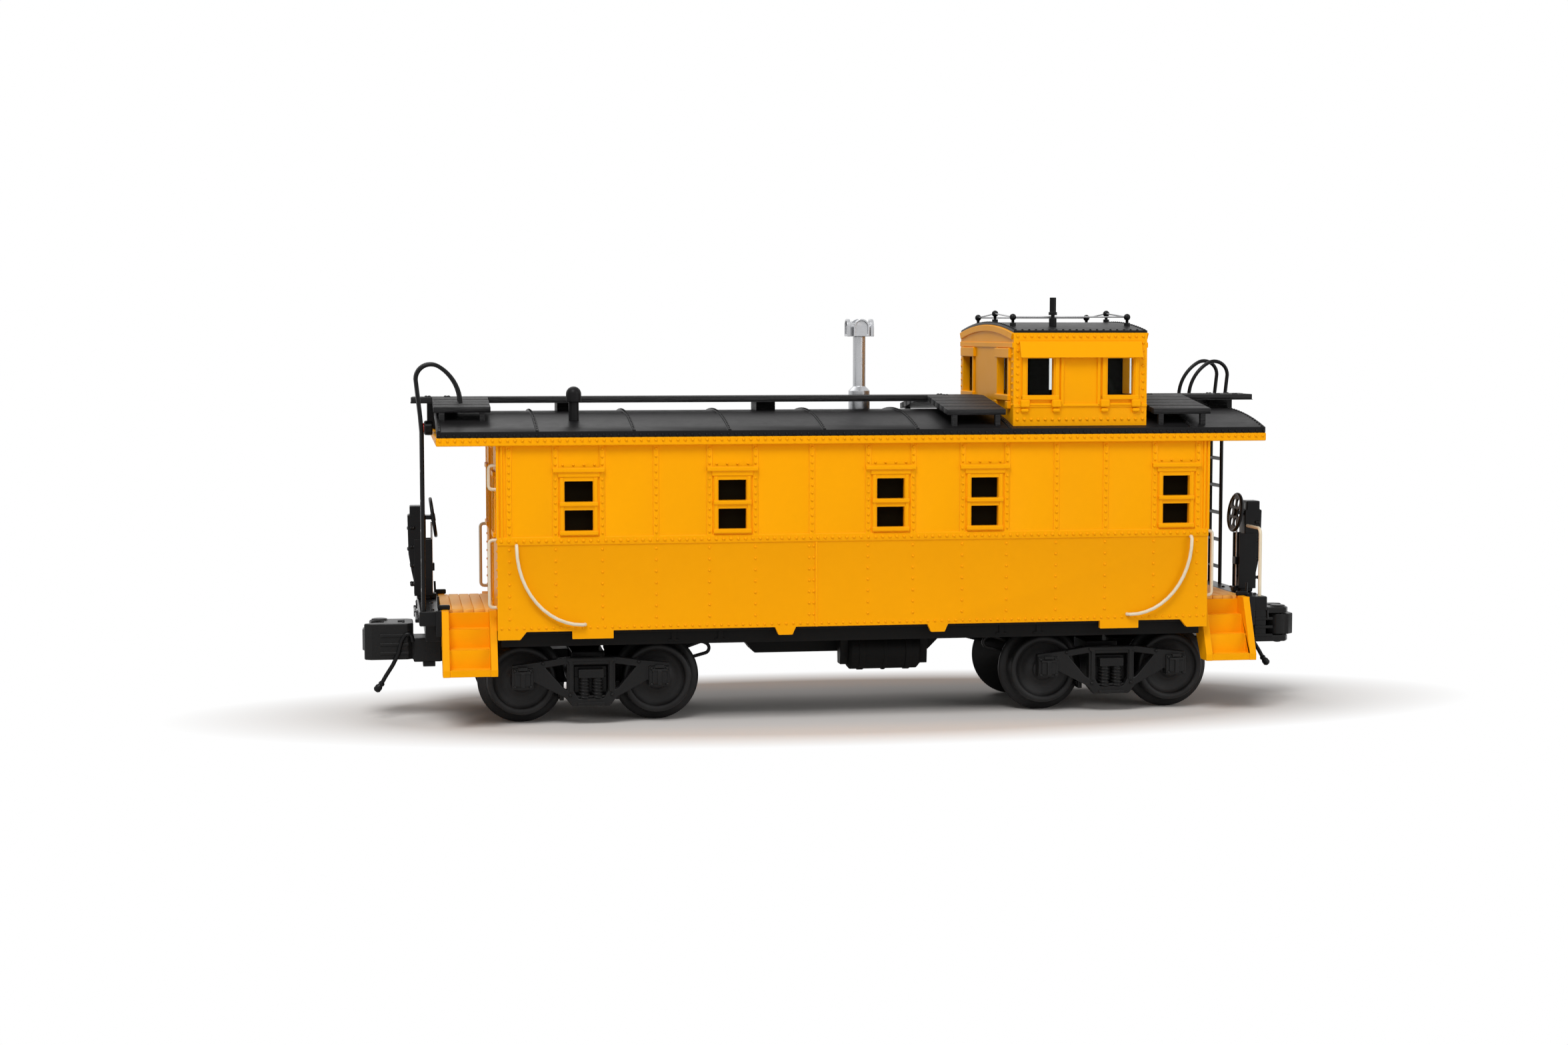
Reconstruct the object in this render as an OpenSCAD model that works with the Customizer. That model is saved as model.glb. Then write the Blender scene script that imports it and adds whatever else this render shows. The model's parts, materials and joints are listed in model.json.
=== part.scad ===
// Model railway caboose with a cupola, two end platforms, two swivelling trucks and
// hinged knuckle couplers. Millimetres, +Z up. The origin is on the floor under the
// middle of the cabin; +X points to the cupola end. The two ends match each other by
// a half turn about Z, so end parts are drawn for +X and turned for the other end.

/* [Cabin] */
// Length of the cabin over its end walls
cabin_length = 185.6; // [170:0.1:200]
// Width of the cabin over its side walls
cabin_width = 60; // [54:0.1:66]
// Height of the lower edge of the side walls above the floor
cabin_bottom = 25.1; // [24.5:0.1:28]
// Thickness of the cabin and cupola walls
wall = 1.5; // [1:0.1:2]
// How far the corner feet and tabs hang below the side walls
skirt_drop = 2; // [1:0.1:3]
// Height of the side walls up to the roof
wall_height = 49; // [44:0.1:54]
// Distance of the middle of the belt rail below the sill of the windows
belt_drop = 2.5; // [2.2:0.1:4]
// Width of the belt rail
belt_width = 2; // [1:0.1:2.5]
// How far rails, battens and casings stand off the walls
trim_relief = 0.3; // [0.1:0.05:0.5]

/* [Windows and doors] */
// Width of a cabin window
window_width = 7.2; // [5:0.1:9]
// Distance of the sill of the cabin windows below the roof
window_drop = 23.6; // [20:0.1:25]
// Height of one pane of a cabin window
pane_height = 5.2; // [4:0.1:6]
// Height of the bar between the two panes
window_bar = 2.1; // [1:0.1:3]
// Width of the casing around a window
casing = 1.2; // [0.8:0.1:1.5]
// Thickness of the clear glazing
glass = 0.8; // [0.5:0.1:1.2]
// Width of the opening for an end door
door_width = 15.6; // [12:0.1:18]
// Distance of the top of an end door below the roof
door_drop = 4.1; // [3:0.1:8]
// Distance of the end windows from the middle of the end wall
end_window_offset = 19; // [15:0.1:22]

/* [Roof] */
// How far the roof runs out past each end wall
roof_overhang = 14.8; // [12:0.1:16]
// How far the roof stands out past the side walls
roof_overlap = 1.5; // [1:0.1:3]
// Height of the upright roof edge
roof_edge = 1.5; // [1:0.1:2.5]
// Rise of the roof arc from the edge to the crest
roof_rise = 4.2; // [3:0.1:8]
// Thickness of the roof sheet
roof_sheet = 1.4; // [1:0.1:1.6]
// Distance between the cross seams of the roof
seam_pitch = 24.3; // [15:0.1:30]
// Height of the strip below the roof edge
eave_height = 2.1; // [1.5:0.1:3]
// Thickness of the strip below the roof edge
eave_thickness = 1.6; // [1:0.1:1.9]

/* [Roof walks] */
// How far the roof walk runs past each end of the roof
walk_overhang = 5.9; // [4:0.1:8]
// Width of the roof walk
walk_width = 10.6; // [8:0.1:14]
// Thickness of every roof board
board = 1.6; // [1:0.1:2.2]
// Gap between the roof crest and the roof walk
walk_gap = 2.2; // [1.5:0.1:3]
// Slope of the side boards in degrees
board_slope = 7.2; // [6:0.1:9]
// Length along the car of the end side boards
end_board_length = 14.4; // [12:0.1:16]
// Length along the car of the boards beside the cupola
cupola_board_length = 15.6; // [10:0.1:18]
// Distance of the tips of the boards beside the cupola from the edge of the roof
cupola_board_inset = 2; // [1:0.1:6]

/* [Cupola] */
// Distance of the middle of the cupola from the front end wall
cupola_inset = 34.8; // [32:0.1:50]
// Length of the cupola
cupola_length = 35.8; // [30:0.1:38]
// How far the cupola sides stand in from the cabin sides
cupola_setback = 0.8; // [0.5:0.1:2]
// Height of the cupola eaves above the lower edge of the roof
cupola_height = 26.1; // [23:0.1:32]
// Rise of the cupola roof arc
cupola_rise = 2.2; // [1.5:0.1:4]
// Thickness of the cupola roof sheet
cupola_sheet = 0.6; // [0.5:0.1:1]
// Width of a cupola side window
cupola_window_width = 6.9; // [5:0.1:8]
// Distance of the sill of the cupola windows below the cupola eaves
cupola_window_drop = 16.1; // [14:0.1:16.4]
// Height of the cupola windows
cupola_window_height = 9.5; // [8:0.1:10]
// Distance between the middles of the two side windows
cupola_window_pitch = 21.4; // [16:0.1:24]
// How far the visors stand off the cupola sides
visor_reach = 2; // [1:0.1:2.3]
// Height of the whistle above the cupola eaves
whistle_height = 9.2; // [6:0.1:12]

/* [Smoke jack and vent] */
// Diameter of the smoke jack tube
jack_diameter = 3.4; // [2.5:0.1:4.5]
// Height of the smoke jack above the crest of the roof
jack_height = 24.1; // [16:0.1:28]
// Diameter of the vent stem
vent_diameter = 2.6; // [2:0.1:3.5]
// Height of the vent above the crest of the roof
vent_height = 6.8; // [5:0.1:12]

/* [Platforms] */
// Length of an end platform out from the end wall
platform_length = 13.8; // [12:0.1:16]
// Height of the platform floor
platform_height = 30; // [29:0.1:32]
// Width of the well for the steps on each side of a platform
step_well = 11.5; // [10:0.1:12.5]
// Depth of the end sill beyond the platform
sill_depth = 5.6; // [5:0.1:7]
// How far the end sill stands in from the cabin sides
sill_setback = 7.5; // [4:0.1:9]
// Height of the lowest edge of the steps
step_bottom = 13.9; // [12.5:0.1:16]
// Thickness of the side plates of the steps
stringer = 1.8; // [1:0.1:2.2]
// Thickness of the step treads
tread = 0.9; // [0.6:0.1:1.2]

/* [Ladders, rails and brakes] */
// Diameter of the ladder rails
ladder_rail = 1; // [0.7:0.1:1.2]
// Distance between the two rails of a ladder
ladder_width = 8.8; // [7:0.1:10]
// Distance of the ladder beyond the platform floor
ladder_stand = 4.4; // [3.8:0.1:5]
// Distance between ladder rungs
rung_pitch = 7.6; // [6:0.1:9]
// Diameter of the grab irons
grab_diameter = 0.9; // [0.7:0.1:1.1]
// Diameter of a brake wheel
brake_wheel_diameter = 10.8; // [8:0.1:13]
// Distance of the brake stand from the middle of the end
brake_offset = 8.5; // [7:0.1:10]
// Height of the brake wheel axle above the platform
brake_height = 21.5; // [16:0.1:26]

/* [Trucks] */
// How far the outer wheels reach out past the end wall
wheel_reach = 4.75; // [1:0.05:5.5]
// Distance between the two axles of a truck
wheelbase = 34.9; // [33:0.1:36]
// Diameter of the wheel flanges
flange_diameter = 22.4; // [20:0.1:22.6]
// Diameter of the wheel treads
tread_diameter = 18; // [16:0.1:18.6]
// Distance between the backs of the two wheels of an axle
back_to_back = 28.2; // [27:0.1:29]
// Width of a wheel from its back to its rim
wheel_width = 5.3; // [4.5:0.1:5.6]
// Diameter of the axle ends
journal_diameter = 2; // [1.5:0.1:2.4]
// Radial clearance of axle ends, kingpins and knuckle pins
running_clearance = 0.05; // [0.02:0.01:0.1]
// Distance of the side frames from the middle of the truck
frame_offset = 21; // [20.5:0.1:22]
// Thickness of the side frames
frame_thickness = 2.4; // [1.8:0.1:3]
// Diameter of the kingpins
kingpin_diameter = 3; // [2.4:0.1:4]
// Gap between the truck centre plate and the car bolster
plate_gap = 0.15; // [0.1:0.05:0.3]

/* [Couplers] */
// Distance from the end sill to the coupler face
coupler_reach = 14.5; // [14:0.1:16]
// Length of the coupler head
head_length = 13.2; // [12.8:0.1:14]
// Width of the coupler head
head_width = 12; // [11:0.1:13]
// Height of the coupler head
head_height = 9.4; // [8.4:0.1:9.8]
// Height of the middle of the coupler above the floor
coupler_height = 20.3; // [19.8:0.1:20.6]
// Diameter of the knuckle pin
knuckle_pin = 2; // [1.5:0.1:2.4]

/* [Hidden] */
$fn = 48;

YELLOW = "orange";
BLACK = "#222222";
STEEL = "silver";
CREAM = "ivory";

half_length = cabin_length / 2;
half_width = cabin_width / 2;
through = 400; // longer than anything that a cut has to pass

// --- cabin
roof_bottom = cabin_bottom + wall_height;
window_sill = roof_bottom - window_drop;
belt_height = window_sill - belt_drop;
rear_window_insets = [20.5, 59.5];
middle_windows = [7.7, 32.5];
front_window_inset = 8.9;
window_middles = concat([for (d = rear_window_insets) d - half_length], middle_windows,
    [half_length - front_window_inset]);
batten_width = 1.4;
batten_side = window_width / 2 + 2.3; // from the middle of a window to the batten beside it
corner_batten = 3;
panel_width = 13.4; // the wall between two windows is divided into panels of about this width
function panels_between(a, b) =
    let (count = max(1, round((b - a) / panel_width)))
    [for (i = [0 : count]) a + (b - a) * i / count];
batten_middles = concat([corner_batten - half_length, window_middles[0] - batten_side],
    [for (i = [0 : len(window_middles) - 2])
        each panels_between(window_middles[i] + batten_side, window_middles[i + 1] - batten_side)],
    [window_middles[len(window_middles) - 1] + batten_side]);
window_height = 2 * pane_height + window_bar;
door_height = roof_bottom - door_drop - platform_height;
hood_height = 2.2;
ledge_height = 1.1;
foot_length = 5.6;
foot_slope = 1.6;
bolster_tab = 10.4;
side_tabs = [-19.6, 20.3];
side_tab_width = 5.4;
tab_slope = 0.9;
door_lap = 0.9;
door_thickness = 1;
door_window = [9, 13];
door_window_drop = 4.5;
door_window_sill = door_height - door_window_drop - door_window[1];

// --- roof
roof_length = cabin_length + 2 * roof_overhang;
roof_width = cabin_width + 2 * roof_overlap;
roof_top = roof_bottom + roof_edge + roof_rise;
roof_radius = (pow(roof_width / 2, 2) + pow(roof_rise, 2)) / (2 * roof_rise);
roof_centre = roof_top - roof_radius;
seam_width = 0.8;
seam_height = 0.35;
seam_first = 0.6 - roof_length / 2;
function roof_at(y) = roof_centre + sqrt(pow(roof_radius, 2) - y * y);

// --- roof walks
walk_length = roof_length + 2 * walk_overhang;
walk_top = roof_top + walk_gap + board;
saddle_length = 5;
saddle_inset = 9.5;
saddle_thickness = 0.6;
board_leg = 1.4;
leg_inset = 0.3;
cupola_board_gap = 1.9;
end_board_middle = roof_length / 2 - 6.7;
cupola_board_reach = roof_width / 2 - cupola_board_inset - walk_width / 2;

// --- cupola
cupola_middle = half_length - cupola_inset;
cupola_width = cabin_width - 2 * cupola_setback;
cupola_rear = cupola_middle - cupola_length / 2;
cupola_front = cupola_middle + cupola_length / 2;
cupola_half = cupola_width / 2;
cupola_radius = (pow(cupola_half, 2) + pow(cupola_rise, 2)) / (2 * cupola_rise);
cupola_eave = roof_bottom + cupola_height;
cupola_crest = cupola_eave + cupola_rise;
cupola_window_sill = cupola_eave - cupola_window_drop;
cupola_belt = roof_bottom + 6.9;
cupola_belt_width = 0.8;
saddle_middles = [saddle_inset - walk_length / 2, -73.3, -20.8, cupola_rear - 10, cupola_front + 8,
    walk_length / 2 - saddle_inset];
cupola_end_window_width = 10.8;
cupola_end_window_offset = cupola_half - 10;
visor_top = cupola_eave - 2.2;
visor_height = 4.2;
visor_edge = 0.8;
visor_length = cupola_length - 3.1;
stanchion_inset = 2.4;
stanchion_rows = [cupola_rear + stanchion_inset, cupola_front - stanchion_inset];
stanchion_offsets = [-1, 0, 1] * (cupola_half - 10.2);
stanchion_height = 2.3;
stanchion_diameter = 0.8;
whistle_place = [cupola_middle - 5, 9.2 - cupola_half];
whistle_diameter = 1.7;
whistle_bowl = 4.6;

// --- smoke jack, vent and lamps
jack_place = [7.2, 10];
jack_top = roof_top + jack_height;
jack_collar = jack_diameter + 2.4;
jack_collar_height = 4.7;
jack_cone = 1.2;
jack_cap_width = jack_diameter + 4;
jack_cap_height = 4.7;
jack_ear = jack_diameter + 0.9;
jack_branch = jack_diameter - 0.7;
jack_mouth = 1;
jack_rim = 0.5;
vent_place = [-72.7, -20.5];
vent_top = roof_top + vent_height;
vent_cap = vent_diameter + 1.3;
vent_cap_height = 3.9;
strip_overhang = 0.2;
lamp_height = roof_bottom + 1.4;
lamp_diameter = 4;
lamp_length = 2;
lamp_bezel = 0.6;
lamp_bracket = [1, 2.4];
lens_diameter = 2.4;
lens_length = 1;

// --- platforms and steps
platform_half = half_width - step_well;
platform_end = half_length + platform_length;
sill_width = cabin_width - 2 * sill_setback;
sill_end = platform_end + sill_depth;
platform_board = 2.5;
sill_lip = 3.9;
sill_web = 4;
sill_web_bottom = 21.6;
step_outer = half_width;
step_count = 3;
bottom_tread = 1.7;
tread_inset = 0.3;
step_rise = (platform_height - step_bottom - bottom_tread) / step_count;
step_run = (step_outer - tread_inset - tread - platform_half) / step_count;
stringer_foot = 1.4;
stringer_back = 5.6;
stringer_top = 5.4;
sill_ear = 6;
ear_thickness = 1.2;

// --- ladders, rails and brakes
sill_top = platform_height - 0.1;
ladder_middle = sill_width / 2 - 5.9;
end_board_reach = ladder_middle + ladder_width / 2 + 0.5 - walk_width / 2;
ladder_reach = platform_end + ladder_stand;
ladder_apex = walk_top + 8.7;
ladder_bend = 3.8;
ladder_lean = 1.4; // of the bow beyond the upright rails
ladder_foot = end_board_middle + 0.3;
first_rung = 4.6;
rung_count = floor((roof_bottom - platform_height - first_rung) / rung_pitch);
corner_grab_offset = half_width - 2.4;
grab_stand = 1.9;
low_iron = [platform_height + 1.2, belt_height + 0.2];
high_iron = [roof_bottom - 13.1, roof_bottom - 7.1];
iron_top = half_length - 4.8;
iron_stand = 1.2;
iron_reach = 16.5;
iron_bend = 0.6;
iron_foot = 1.7;
stand_width = 4.8;
stand_depth = 4.8;
stand_inner = sill_end - stand_depth / 2;
stand_outer = sill_end + stand_depth / 2;
stand_top = platform_height + brake_height + 0.8;
stand_cap = 2.4;
railing_reach = stand_inner + 0.7;
railing_top = platform_height + 18;
railing_corner = sill_width / 2 - 1.5;
railing_bend = 1.6;
brake_rim = 0.9;
brake_web = 0.5;
brake_hub = 2;
brake_wheel_gap = 1.5;
brake_wheel_lean = 8; // the top of the wheel leans away from the cabin
brake_rod = 0.5;
rod_bracket = [2.2, 2.4, 1.5];
rod_reach = stand_inner - brake_wheel_gap;

// --- underframe
floor_thickness = 1.6;
floor_bottom = cabin_bottom - 0.8;
sill_half = 5.6;
sill_shallow = floor_bottom - 2.6;
sill_deep = floor_bottom - 8.9;
sill_step = floor_bottom - 3.9;
car_bolster_bottom = floor_bottom - 5.1;
car_bolster_length = 10;
car_bolster_half = half_width - 4;
bolster_tip = 1.2;
bolster_pad = 7;
tank_middle = [9.2, -12.3];
tank_length = 19.4;
tank_radius = 5.2;
tank_height = floor_bottom - 7.9;
tank_dish = 0.8;
hanger = 2;
hanger_foot = 3.4;

// --- trucks
axle_height = flange_diameter / 2;
truck_half = wheelbase / 2;
truck_place = half_length + wheel_reach - flange_diameter / 2 - truck_half;
frame_top = axle_height + 6.3;
frame_low = axle_height - 6.3;
wheel_gap = 1.95;
truck_bolster_half = truck_half - flange_diameter / 2 - wheel_gap;
truck_bolster_bottom = axle_height - 3.2;
bolster_ledge = 7;
plate_top = car_bolster_bottom - plate_gap;
truck_bolster_top = plate_top - 1.25;
plate_diameter = 2 * truck_bolster_half - 0.2;
axle_diameter = 3;
journal_end = frame_offset + frame_thickness - 0.4;
journal_play = 0.15;
box_width = 5.4;
box_bottom = axle_height - 1.5;
box_top = axle_height + 3.8;
box_stand = 1;
lid_inset = 0.8;
lid_stand = 0.5;
spring_diameter = 2.4;
spring_offset = 1.7;
spring_plank = 2.2;
pin_head = 1.4;

// --- couplers
coupler_face = sill_end + coupler_reach;
head_back = coupler_face - head_length;
head_bottom = coupler_height - head_height / 2;
head_top = coupler_height + head_height / 2;
jaw = 1.7;
jaw_gap = 0.15;
pin_place = [coupler_face - 4.5, -3.4];
pin_rivet = 0.9;
slot_start = 4.6;
slot_side = 1.9;
knuckle_eye = 2.5;
arm_half = 4.6;
arm_bottom = coupler_height - 5.5;
arm_top = coupler_height - 2.9;
draft_top = coupler_height + 0.7;
draft_side = 0.6;
hose_diameter = 0.9;
hose_coupling = [1.9, 1.3, 1.9];

// ---------------------------------------------------------------- helpers

// A profile drawn in (Y, Z), swept along X from x0 to x1
module along_x(x0, x1) {
    translate([x0, 0, 0]) rotate([90, 0, 90]) linear_extrude(x1 - x0) children();
}

// A profile drawn in (X, Z), swept along Y from y0 to y1
module along_y(y0, y1) {
    translate([0, y1, 0]) rotate([90, 0, 0]) linear_extrude(y1 - y0) children();
}

// A box given by its low and high corners
module block(low, high) {
    translate(low) cube(high - low);
}

module both_sides() {
    children();
    mirror([0, 1, 0]) children();
}

// Turns an end part drawn for the front to the rear end
module rear() {
    rotate([0, 0, 180]) children();
}

module both_ends() {
    children();
    rear() children();
}

function unit(v) = v / norm(v);

// Direction of a route at point i
function heading(p, i) = unit(p[min(i + 1, len(p) - 1)] - p[max(i - 1, 0)]);

// One ring of a wire of diameter d around point i. side never lies along the wire
function wire_ring(p, i, d, side, sides) =
    let (along = heading(p, i), across = unit(cross(along, side)), up = cross(across, along))
    [for (k = [0 : sides - 1]) let (a = 360 * (k + 0.5) / sides)
        p[i] + d / 2 * (cos(a) * across + sin(a) * up)];

// A bent wire through the points p. side is any direction that the wire never follows
module wire(p, d, side, sides = 8) {
    n = len(p);
    points = [for (i = [0 : n - 1]) each wire_ring(p, i, d, side, sides)];
    walls = [for (i = [0 : n - 2], k = [0 : sides - 1])
        let (next = (k + 1) % sides)
        [i * sides + k, i * sides + next, (i + 1) * sides + next, (i + 1) * sides + k]];
    caps = [[for (k = [sides - 1 : -1 : 0]) k], [for (k = [0 : sides - 1]) (n - 1) * sides + k]];
    polyhedron(points, concat(walls, caps));
}

// Points of an arc in the X-Z plane, moved to depth y
function arc_xz(centre, r, a0, a1, y, steps = 6) =
    [for (i = [0 : steps]) let (a = a0 + (a1 - a0) * i / steps)
        [centre[0] + r * cos(a), y, centre[1] + r * sin(a)]];

// Points of an arc in the Y-Z plane, moved to x
function arc_yz(centre, r, a0, a1, x, steps = 6) =
    [for (i = [0 : steps]) let (a = a0 + (a1 - a0) * i / steps)
        [x, centre[0] + r * cos(a), centre[1] + r * sin(a)]];

// ---------------------------------------------------------------- cabin

// Everything under a roof arc of radius r whose crest is at height top
module under_arc(r, top) {
    translate([0, top - r]) circle(r, $fn = 180);
}

module cabin_profile() {
    intersection() {
        translate([-half_width, cabin_bottom])
            square([cabin_width, roof_top - cabin_bottom]);
        under_arc(roof_radius - roof_sheet, roof_top - roof_sheet);
    }
}

// Tab below a side wall: centre, width at the wall, slope of its ends
module skirt_tab(middle, width, slope) {
    low = cabin_bottom - skirt_drop;
    polygon([[middle - width / 2, cabin_bottom + wall], [middle - width / 2, cabin_bottom],
        [middle - width / 2 + slope, low], [middle + width / 2 - slope, low],
        [middle + width / 2, cabin_bottom], [middle + width / 2, cabin_bottom + wall]]);
}

module corner_foot() {
    low = cabin_bottom - skirt_drop;
    polygon([[half_length, low], [half_length, cabin_bottom + wall],
        [half_length - foot_length - foot_slope, cabin_bottom + wall],
        [half_length - foot_length - foot_slope, cabin_bottom],
        [half_length - foot_length, low]]);
}

module skirt() {
    corner_foot();
    mirror([1, 0]) corner_foot();
    for (x = [-truck_place, truck_place]) skirt_tab(x, bolster_tab, 0);
    for (x = side_tabs) skirt_tab(x, side_tab_width, tab_slope);
}

// Ledge under a pane whose lower corner is the origin, a little wider than the pane
module ledge_outline(width) {
    translate([-casing / 2, -ledge_height]) square([width + casing, ledge_height]);
}

// Raised casing around a window whose lower corner is the origin, with the lower step of its hood
module casing_outline(width, height) {
    translate([-casing, -casing]) square([width + 2 * casing, height + 2 * casing]);
    translate([-1.4 * casing, height + casing]) square([width + 2.8 * casing, hood_height / 2]);
}

module side_trim() {
    along_y(-half_width - trim_relief, -half_width) {
        for (x = window_middles)
            translate([x - window_width / 2, window_sill])
                casing_outline(window_width, window_height);
        translate([-half_length, belt_height - belt_width / 2]) square([cabin_length, belt_width]);
        for (x = batten_middles)
            translate([x - batten_width / 2, belt_height])
                square([batten_width, roof_bottom - eave_height - belt_height]);
    }
    along_y(-half_width - 2 * trim_relief, -half_width)
        for (x = window_middles) translate([x - window_width / 2, window_sill]) {
            ledge_outline(window_width);
            translate([0, pane_height + window_bar]) ledge_outline(window_width);
            // upper step of the hood, out over the battens
            translate([window_width / 2 - batten_side - batten_width / 2,
                    window_height + casing + hood_height / 2])
                square([2 * batten_side + batten_width, hood_height / 2]);
        }
}

module window_cut(middle, across_y) {
    for (z = [window_sill, window_sill + pane_height + window_bar])
        if (across_y)
            block([middle - window_width / 2, -through / 2, z],
                [middle + window_width / 2, through / 2, z + pane_height]);
        else
            block([-through / 2, middle - window_width / 2, z],
                [through / 2, middle + window_width / 2, z + pane_height]);
}

module body_shell() {
    color(YELLOW) difference() {
        union() {
            along_x(-half_length, half_length) cabin_profile();
            both_sides() {
                along_y(-half_width, -half_width + wall) skirt();
                side_trim();
            }
        }
        block([-half_length + wall, -half_width + wall, 0],
            [half_length - wall, half_width - wall, through]);
        for (x = window_middles) window_cut(x, true);
        for (y = [-end_window_offset, end_window_offset]) window_cut(y, false);
        block([-through / 2, -door_width / 2, platform_height],
            [through / 2, door_width / 2, platform_height + door_height]);
    }
}

module side_glazing() {
    color("lightblue") both_sides()
        for (x = window_middles)
            block([x - window_width / 2 - casing, -half_width + wall, window_sill - casing],
                [x + window_width / 2 + casing, -half_width + wall + glass,
                    window_sill + window_height + casing]);
}

module end_glazing() {
    color("lightblue") both_ends() {
        for (y = [-end_window_offset, end_window_offset])
            block([half_length - wall - glass, y - window_width / 2 - casing, window_sill - casing],
                [half_length - wall, y + window_width / 2 + casing,
                    window_sill + window_height + casing]);
        block([half_length - wall - door_thickness - glass, -door_window[0] / 2 - door_lap,
                platform_height + door_window_sill - door_lap],
            [half_length - wall - door_thickness, door_window[0] / 2 + door_lap,
                platform_height + door_window_sill + door_window[1] + door_lap]);
    }
}

module end_doors() {
    color(YELLOW) both_ends() difference() {
        block([half_length - wall - door_thickness, -door_width / 2 - door_lap, platform_height - door_lap],
            [half_length - wall, door_width / 2 + door_lap, platform_height + door_height + door_lap]);
        block([0, -door_window[0] / 2, platform_height + door_window_sill],
            [through, door_window[0] / 2, platform_height + door_window_sill + door_window[1]]);
    }
}

// ---------------------------------------------------------------- roof

module roof_profile() {
    difference() {
        intersection() {
            translate([-roof_width / 2, roof_bottom])
                square([roof_width, roof_edge + roof_rise]);
            under_arc(roof_radius, roof_top);
        }
        intersection() {
            under_arc(roof_radius - roof_sheet, roof_top - roof_sheet);
            translate([-half_width, 0]) square([cabin_width, through]);
        }
    }
}

// Raised cross seam over the roof arc
module seam_profile() {
    intersection() {
        translate([-roof_width / 2, roof_bottom + roof_edge - 0.3])
            square([roof_width, roof_rise + 1]);
        difference() {
            under_arc(roof_radius + seam_height, roof_top + seam_height);
            under_arc(roof_radius - 0.2, roof_top - 0.2);
        }
    }
}

module roof() {
    color(BLACK) {
        difference() {
            along_x(-roof_length / 2, roof_length / 2) roof_profile();
            block([cupola_rear, -cupola_half, 0], [cupola_front, cupola_half, through]);
        }
        seam_count = floor((roof_length / 2 - seam_first) / seam_pitch);
        for (i = [0 : seam_count]) let (x = seam_first + i * seam_pitch)
            if (x < cupola_rear - 1 || x > cupola_front + 1)
                along_x(x - seam_width / 2, x + seam_width / 2) seam_profile();
    }
}

// Ring of strip under the roof edge, around the cabin and both platforms
module eave_strip() {
    outer = [roof_length / 2 + strip_overhang, half_width + eave_thickness];
    color(YELLOW) translate([0, 0, roof_bottom - eave_height]) linear_extrude(eave_height)
        difference() {
            square(2 * outer, center = true);
            square(2 * (outer - [eave_thickness, eave_thickness]), center = true);
        }
}

// ---------------------------------------------------------------- roof walks

// Board leaning down from the roof walk towards -Y, between x0 and x1, with two legs
module side_board(x0, x1, reach) {
    drop = reach * tan(board_slope);
    near = -walk_width / 2 - reach;
    along_x(x0, x1) polygon([[-walk_width / 2, walk_top], [near, walk_top - drop],
        [near, walk_top - drop - board], [-walk_width / 2, walk_top - board]]);
    outer = near + leg_inset;
    inner = outer + board_leg;
    for (x = [x0 + board_leg, x1 - 2 * board_leg])
        along_x(x, x + board_leg) polygon([[outer, walk_top - drop - board / 2], [outer, roof_at(outer)],
            [inner, roof_at(inner)], [inner, walk_top - drop - board / 2]]);
}

module roof_walk() {
    color(BLACK) {
        for (span = [[-walk_length / 2, cupola_rear - cupola_board_gap],
                [cupola_front + cupola_board_gap, walk_length / 2]])
            block([span[0], -walk_width / 2, walk_top - board], [span[1], walk_width / 2, walk_top]);
        for (x = saddle_middles)
            along_x(x - saddle_length / 2, x + saddle_length / 2)
                difference() {
                    translate([saddle_thickness - walk_width / 2, roof_top - 1])
                        square([walk_width - 2 * saddle_thickness, walk_gap + 1 + board / 8]);
                    under_arc(roof_radius, roof_top);
                }
    }
}

module end_side_boards() {
    color(BLACK) rear() mirror([0, 1, 0])
        side_board(end_board_middle - end_board_length / 2, end_board_middle + end_board_length / 2,
            end_board_reach);
    color(BLACK) mirror([0, 1, 0])
        side_board(end_board_middle - end_board_length / 2, end_board_middle + end_board_length / 2,
            end_board_reach);
}

module cupola_side_boards() {
    color(BLACK) both_sides() {
        side_board(cupola_rear - cupola_board_gap - cupola_board_length, cupola_rear - cupola_board_gap,
            cupola_board_reach);
        side_board(cupola_front + cupola_board_gap, cupola_front + cupola_board_gap + cupola_board_length,
            cupola_board_reach);
    }
}

// ---------------------------------------------------------------- cupola

module cupola_profile() {
    intersection() {
        translate([-cupola_half, roof_bottom]) square([cupola_width, cupola_crest - roof_bottom]);
        under_arc(cupola_radius, cupola_crest);
    }
}

module cupola_shell() {
    color(YELLOW) difference() {
        union() {
            along_x(cupola_rear, cupola_front) cupola_profile();
            both_sides() along_y(-cupola_half - trim_relief, -cupola_half) {
                for (x = [-1, 1] * cupola_window_pitch / 2)
                    translate([cupola_middle + x - cupola_window_width / 2 - casing,
                            cupola_window_sill - casing])
                        square([cupola_window_width + 2 * casing, cupola_window_height + 2 * casing]);
                translate([cupola_rear, cupola_belt]) square([cupola_length, cupola_belt_width]);
            }
        }
        // the inside, open to the cabin below
        block([cupola_rear + wall, -cupola_half + wall, 0],
            [cupola_front - wall, cupola_half - wall, cupola_eave - 1]);
        // seat of the walls on the roof arc
        along_x(cupola_rear - 1, cupola_front + 1)
            under_arc(roof_radius - roof_sheet, roof_top - roof_sheet);
        for (x = [-1, 1] * cupola_window_pitch / 2)
            block([cupola_middle + x - cupola_window_width / 2, -through / 2, cupola_window_sill],
                [cupola_middle + x + cupola_window_width / 2, through / 2,
                    cupola_window_sill + cupola_window_height]);
        for (y = [-1, 1] * cupola_end_window_offset)
            block([-through / 2, y - cupola_end_window_width / 2, cupola_window_sill],
                [through / 2, y + cupola_end_window_width / 2, cupola_window_sill + cupola_window_height]);
    }
}

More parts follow.
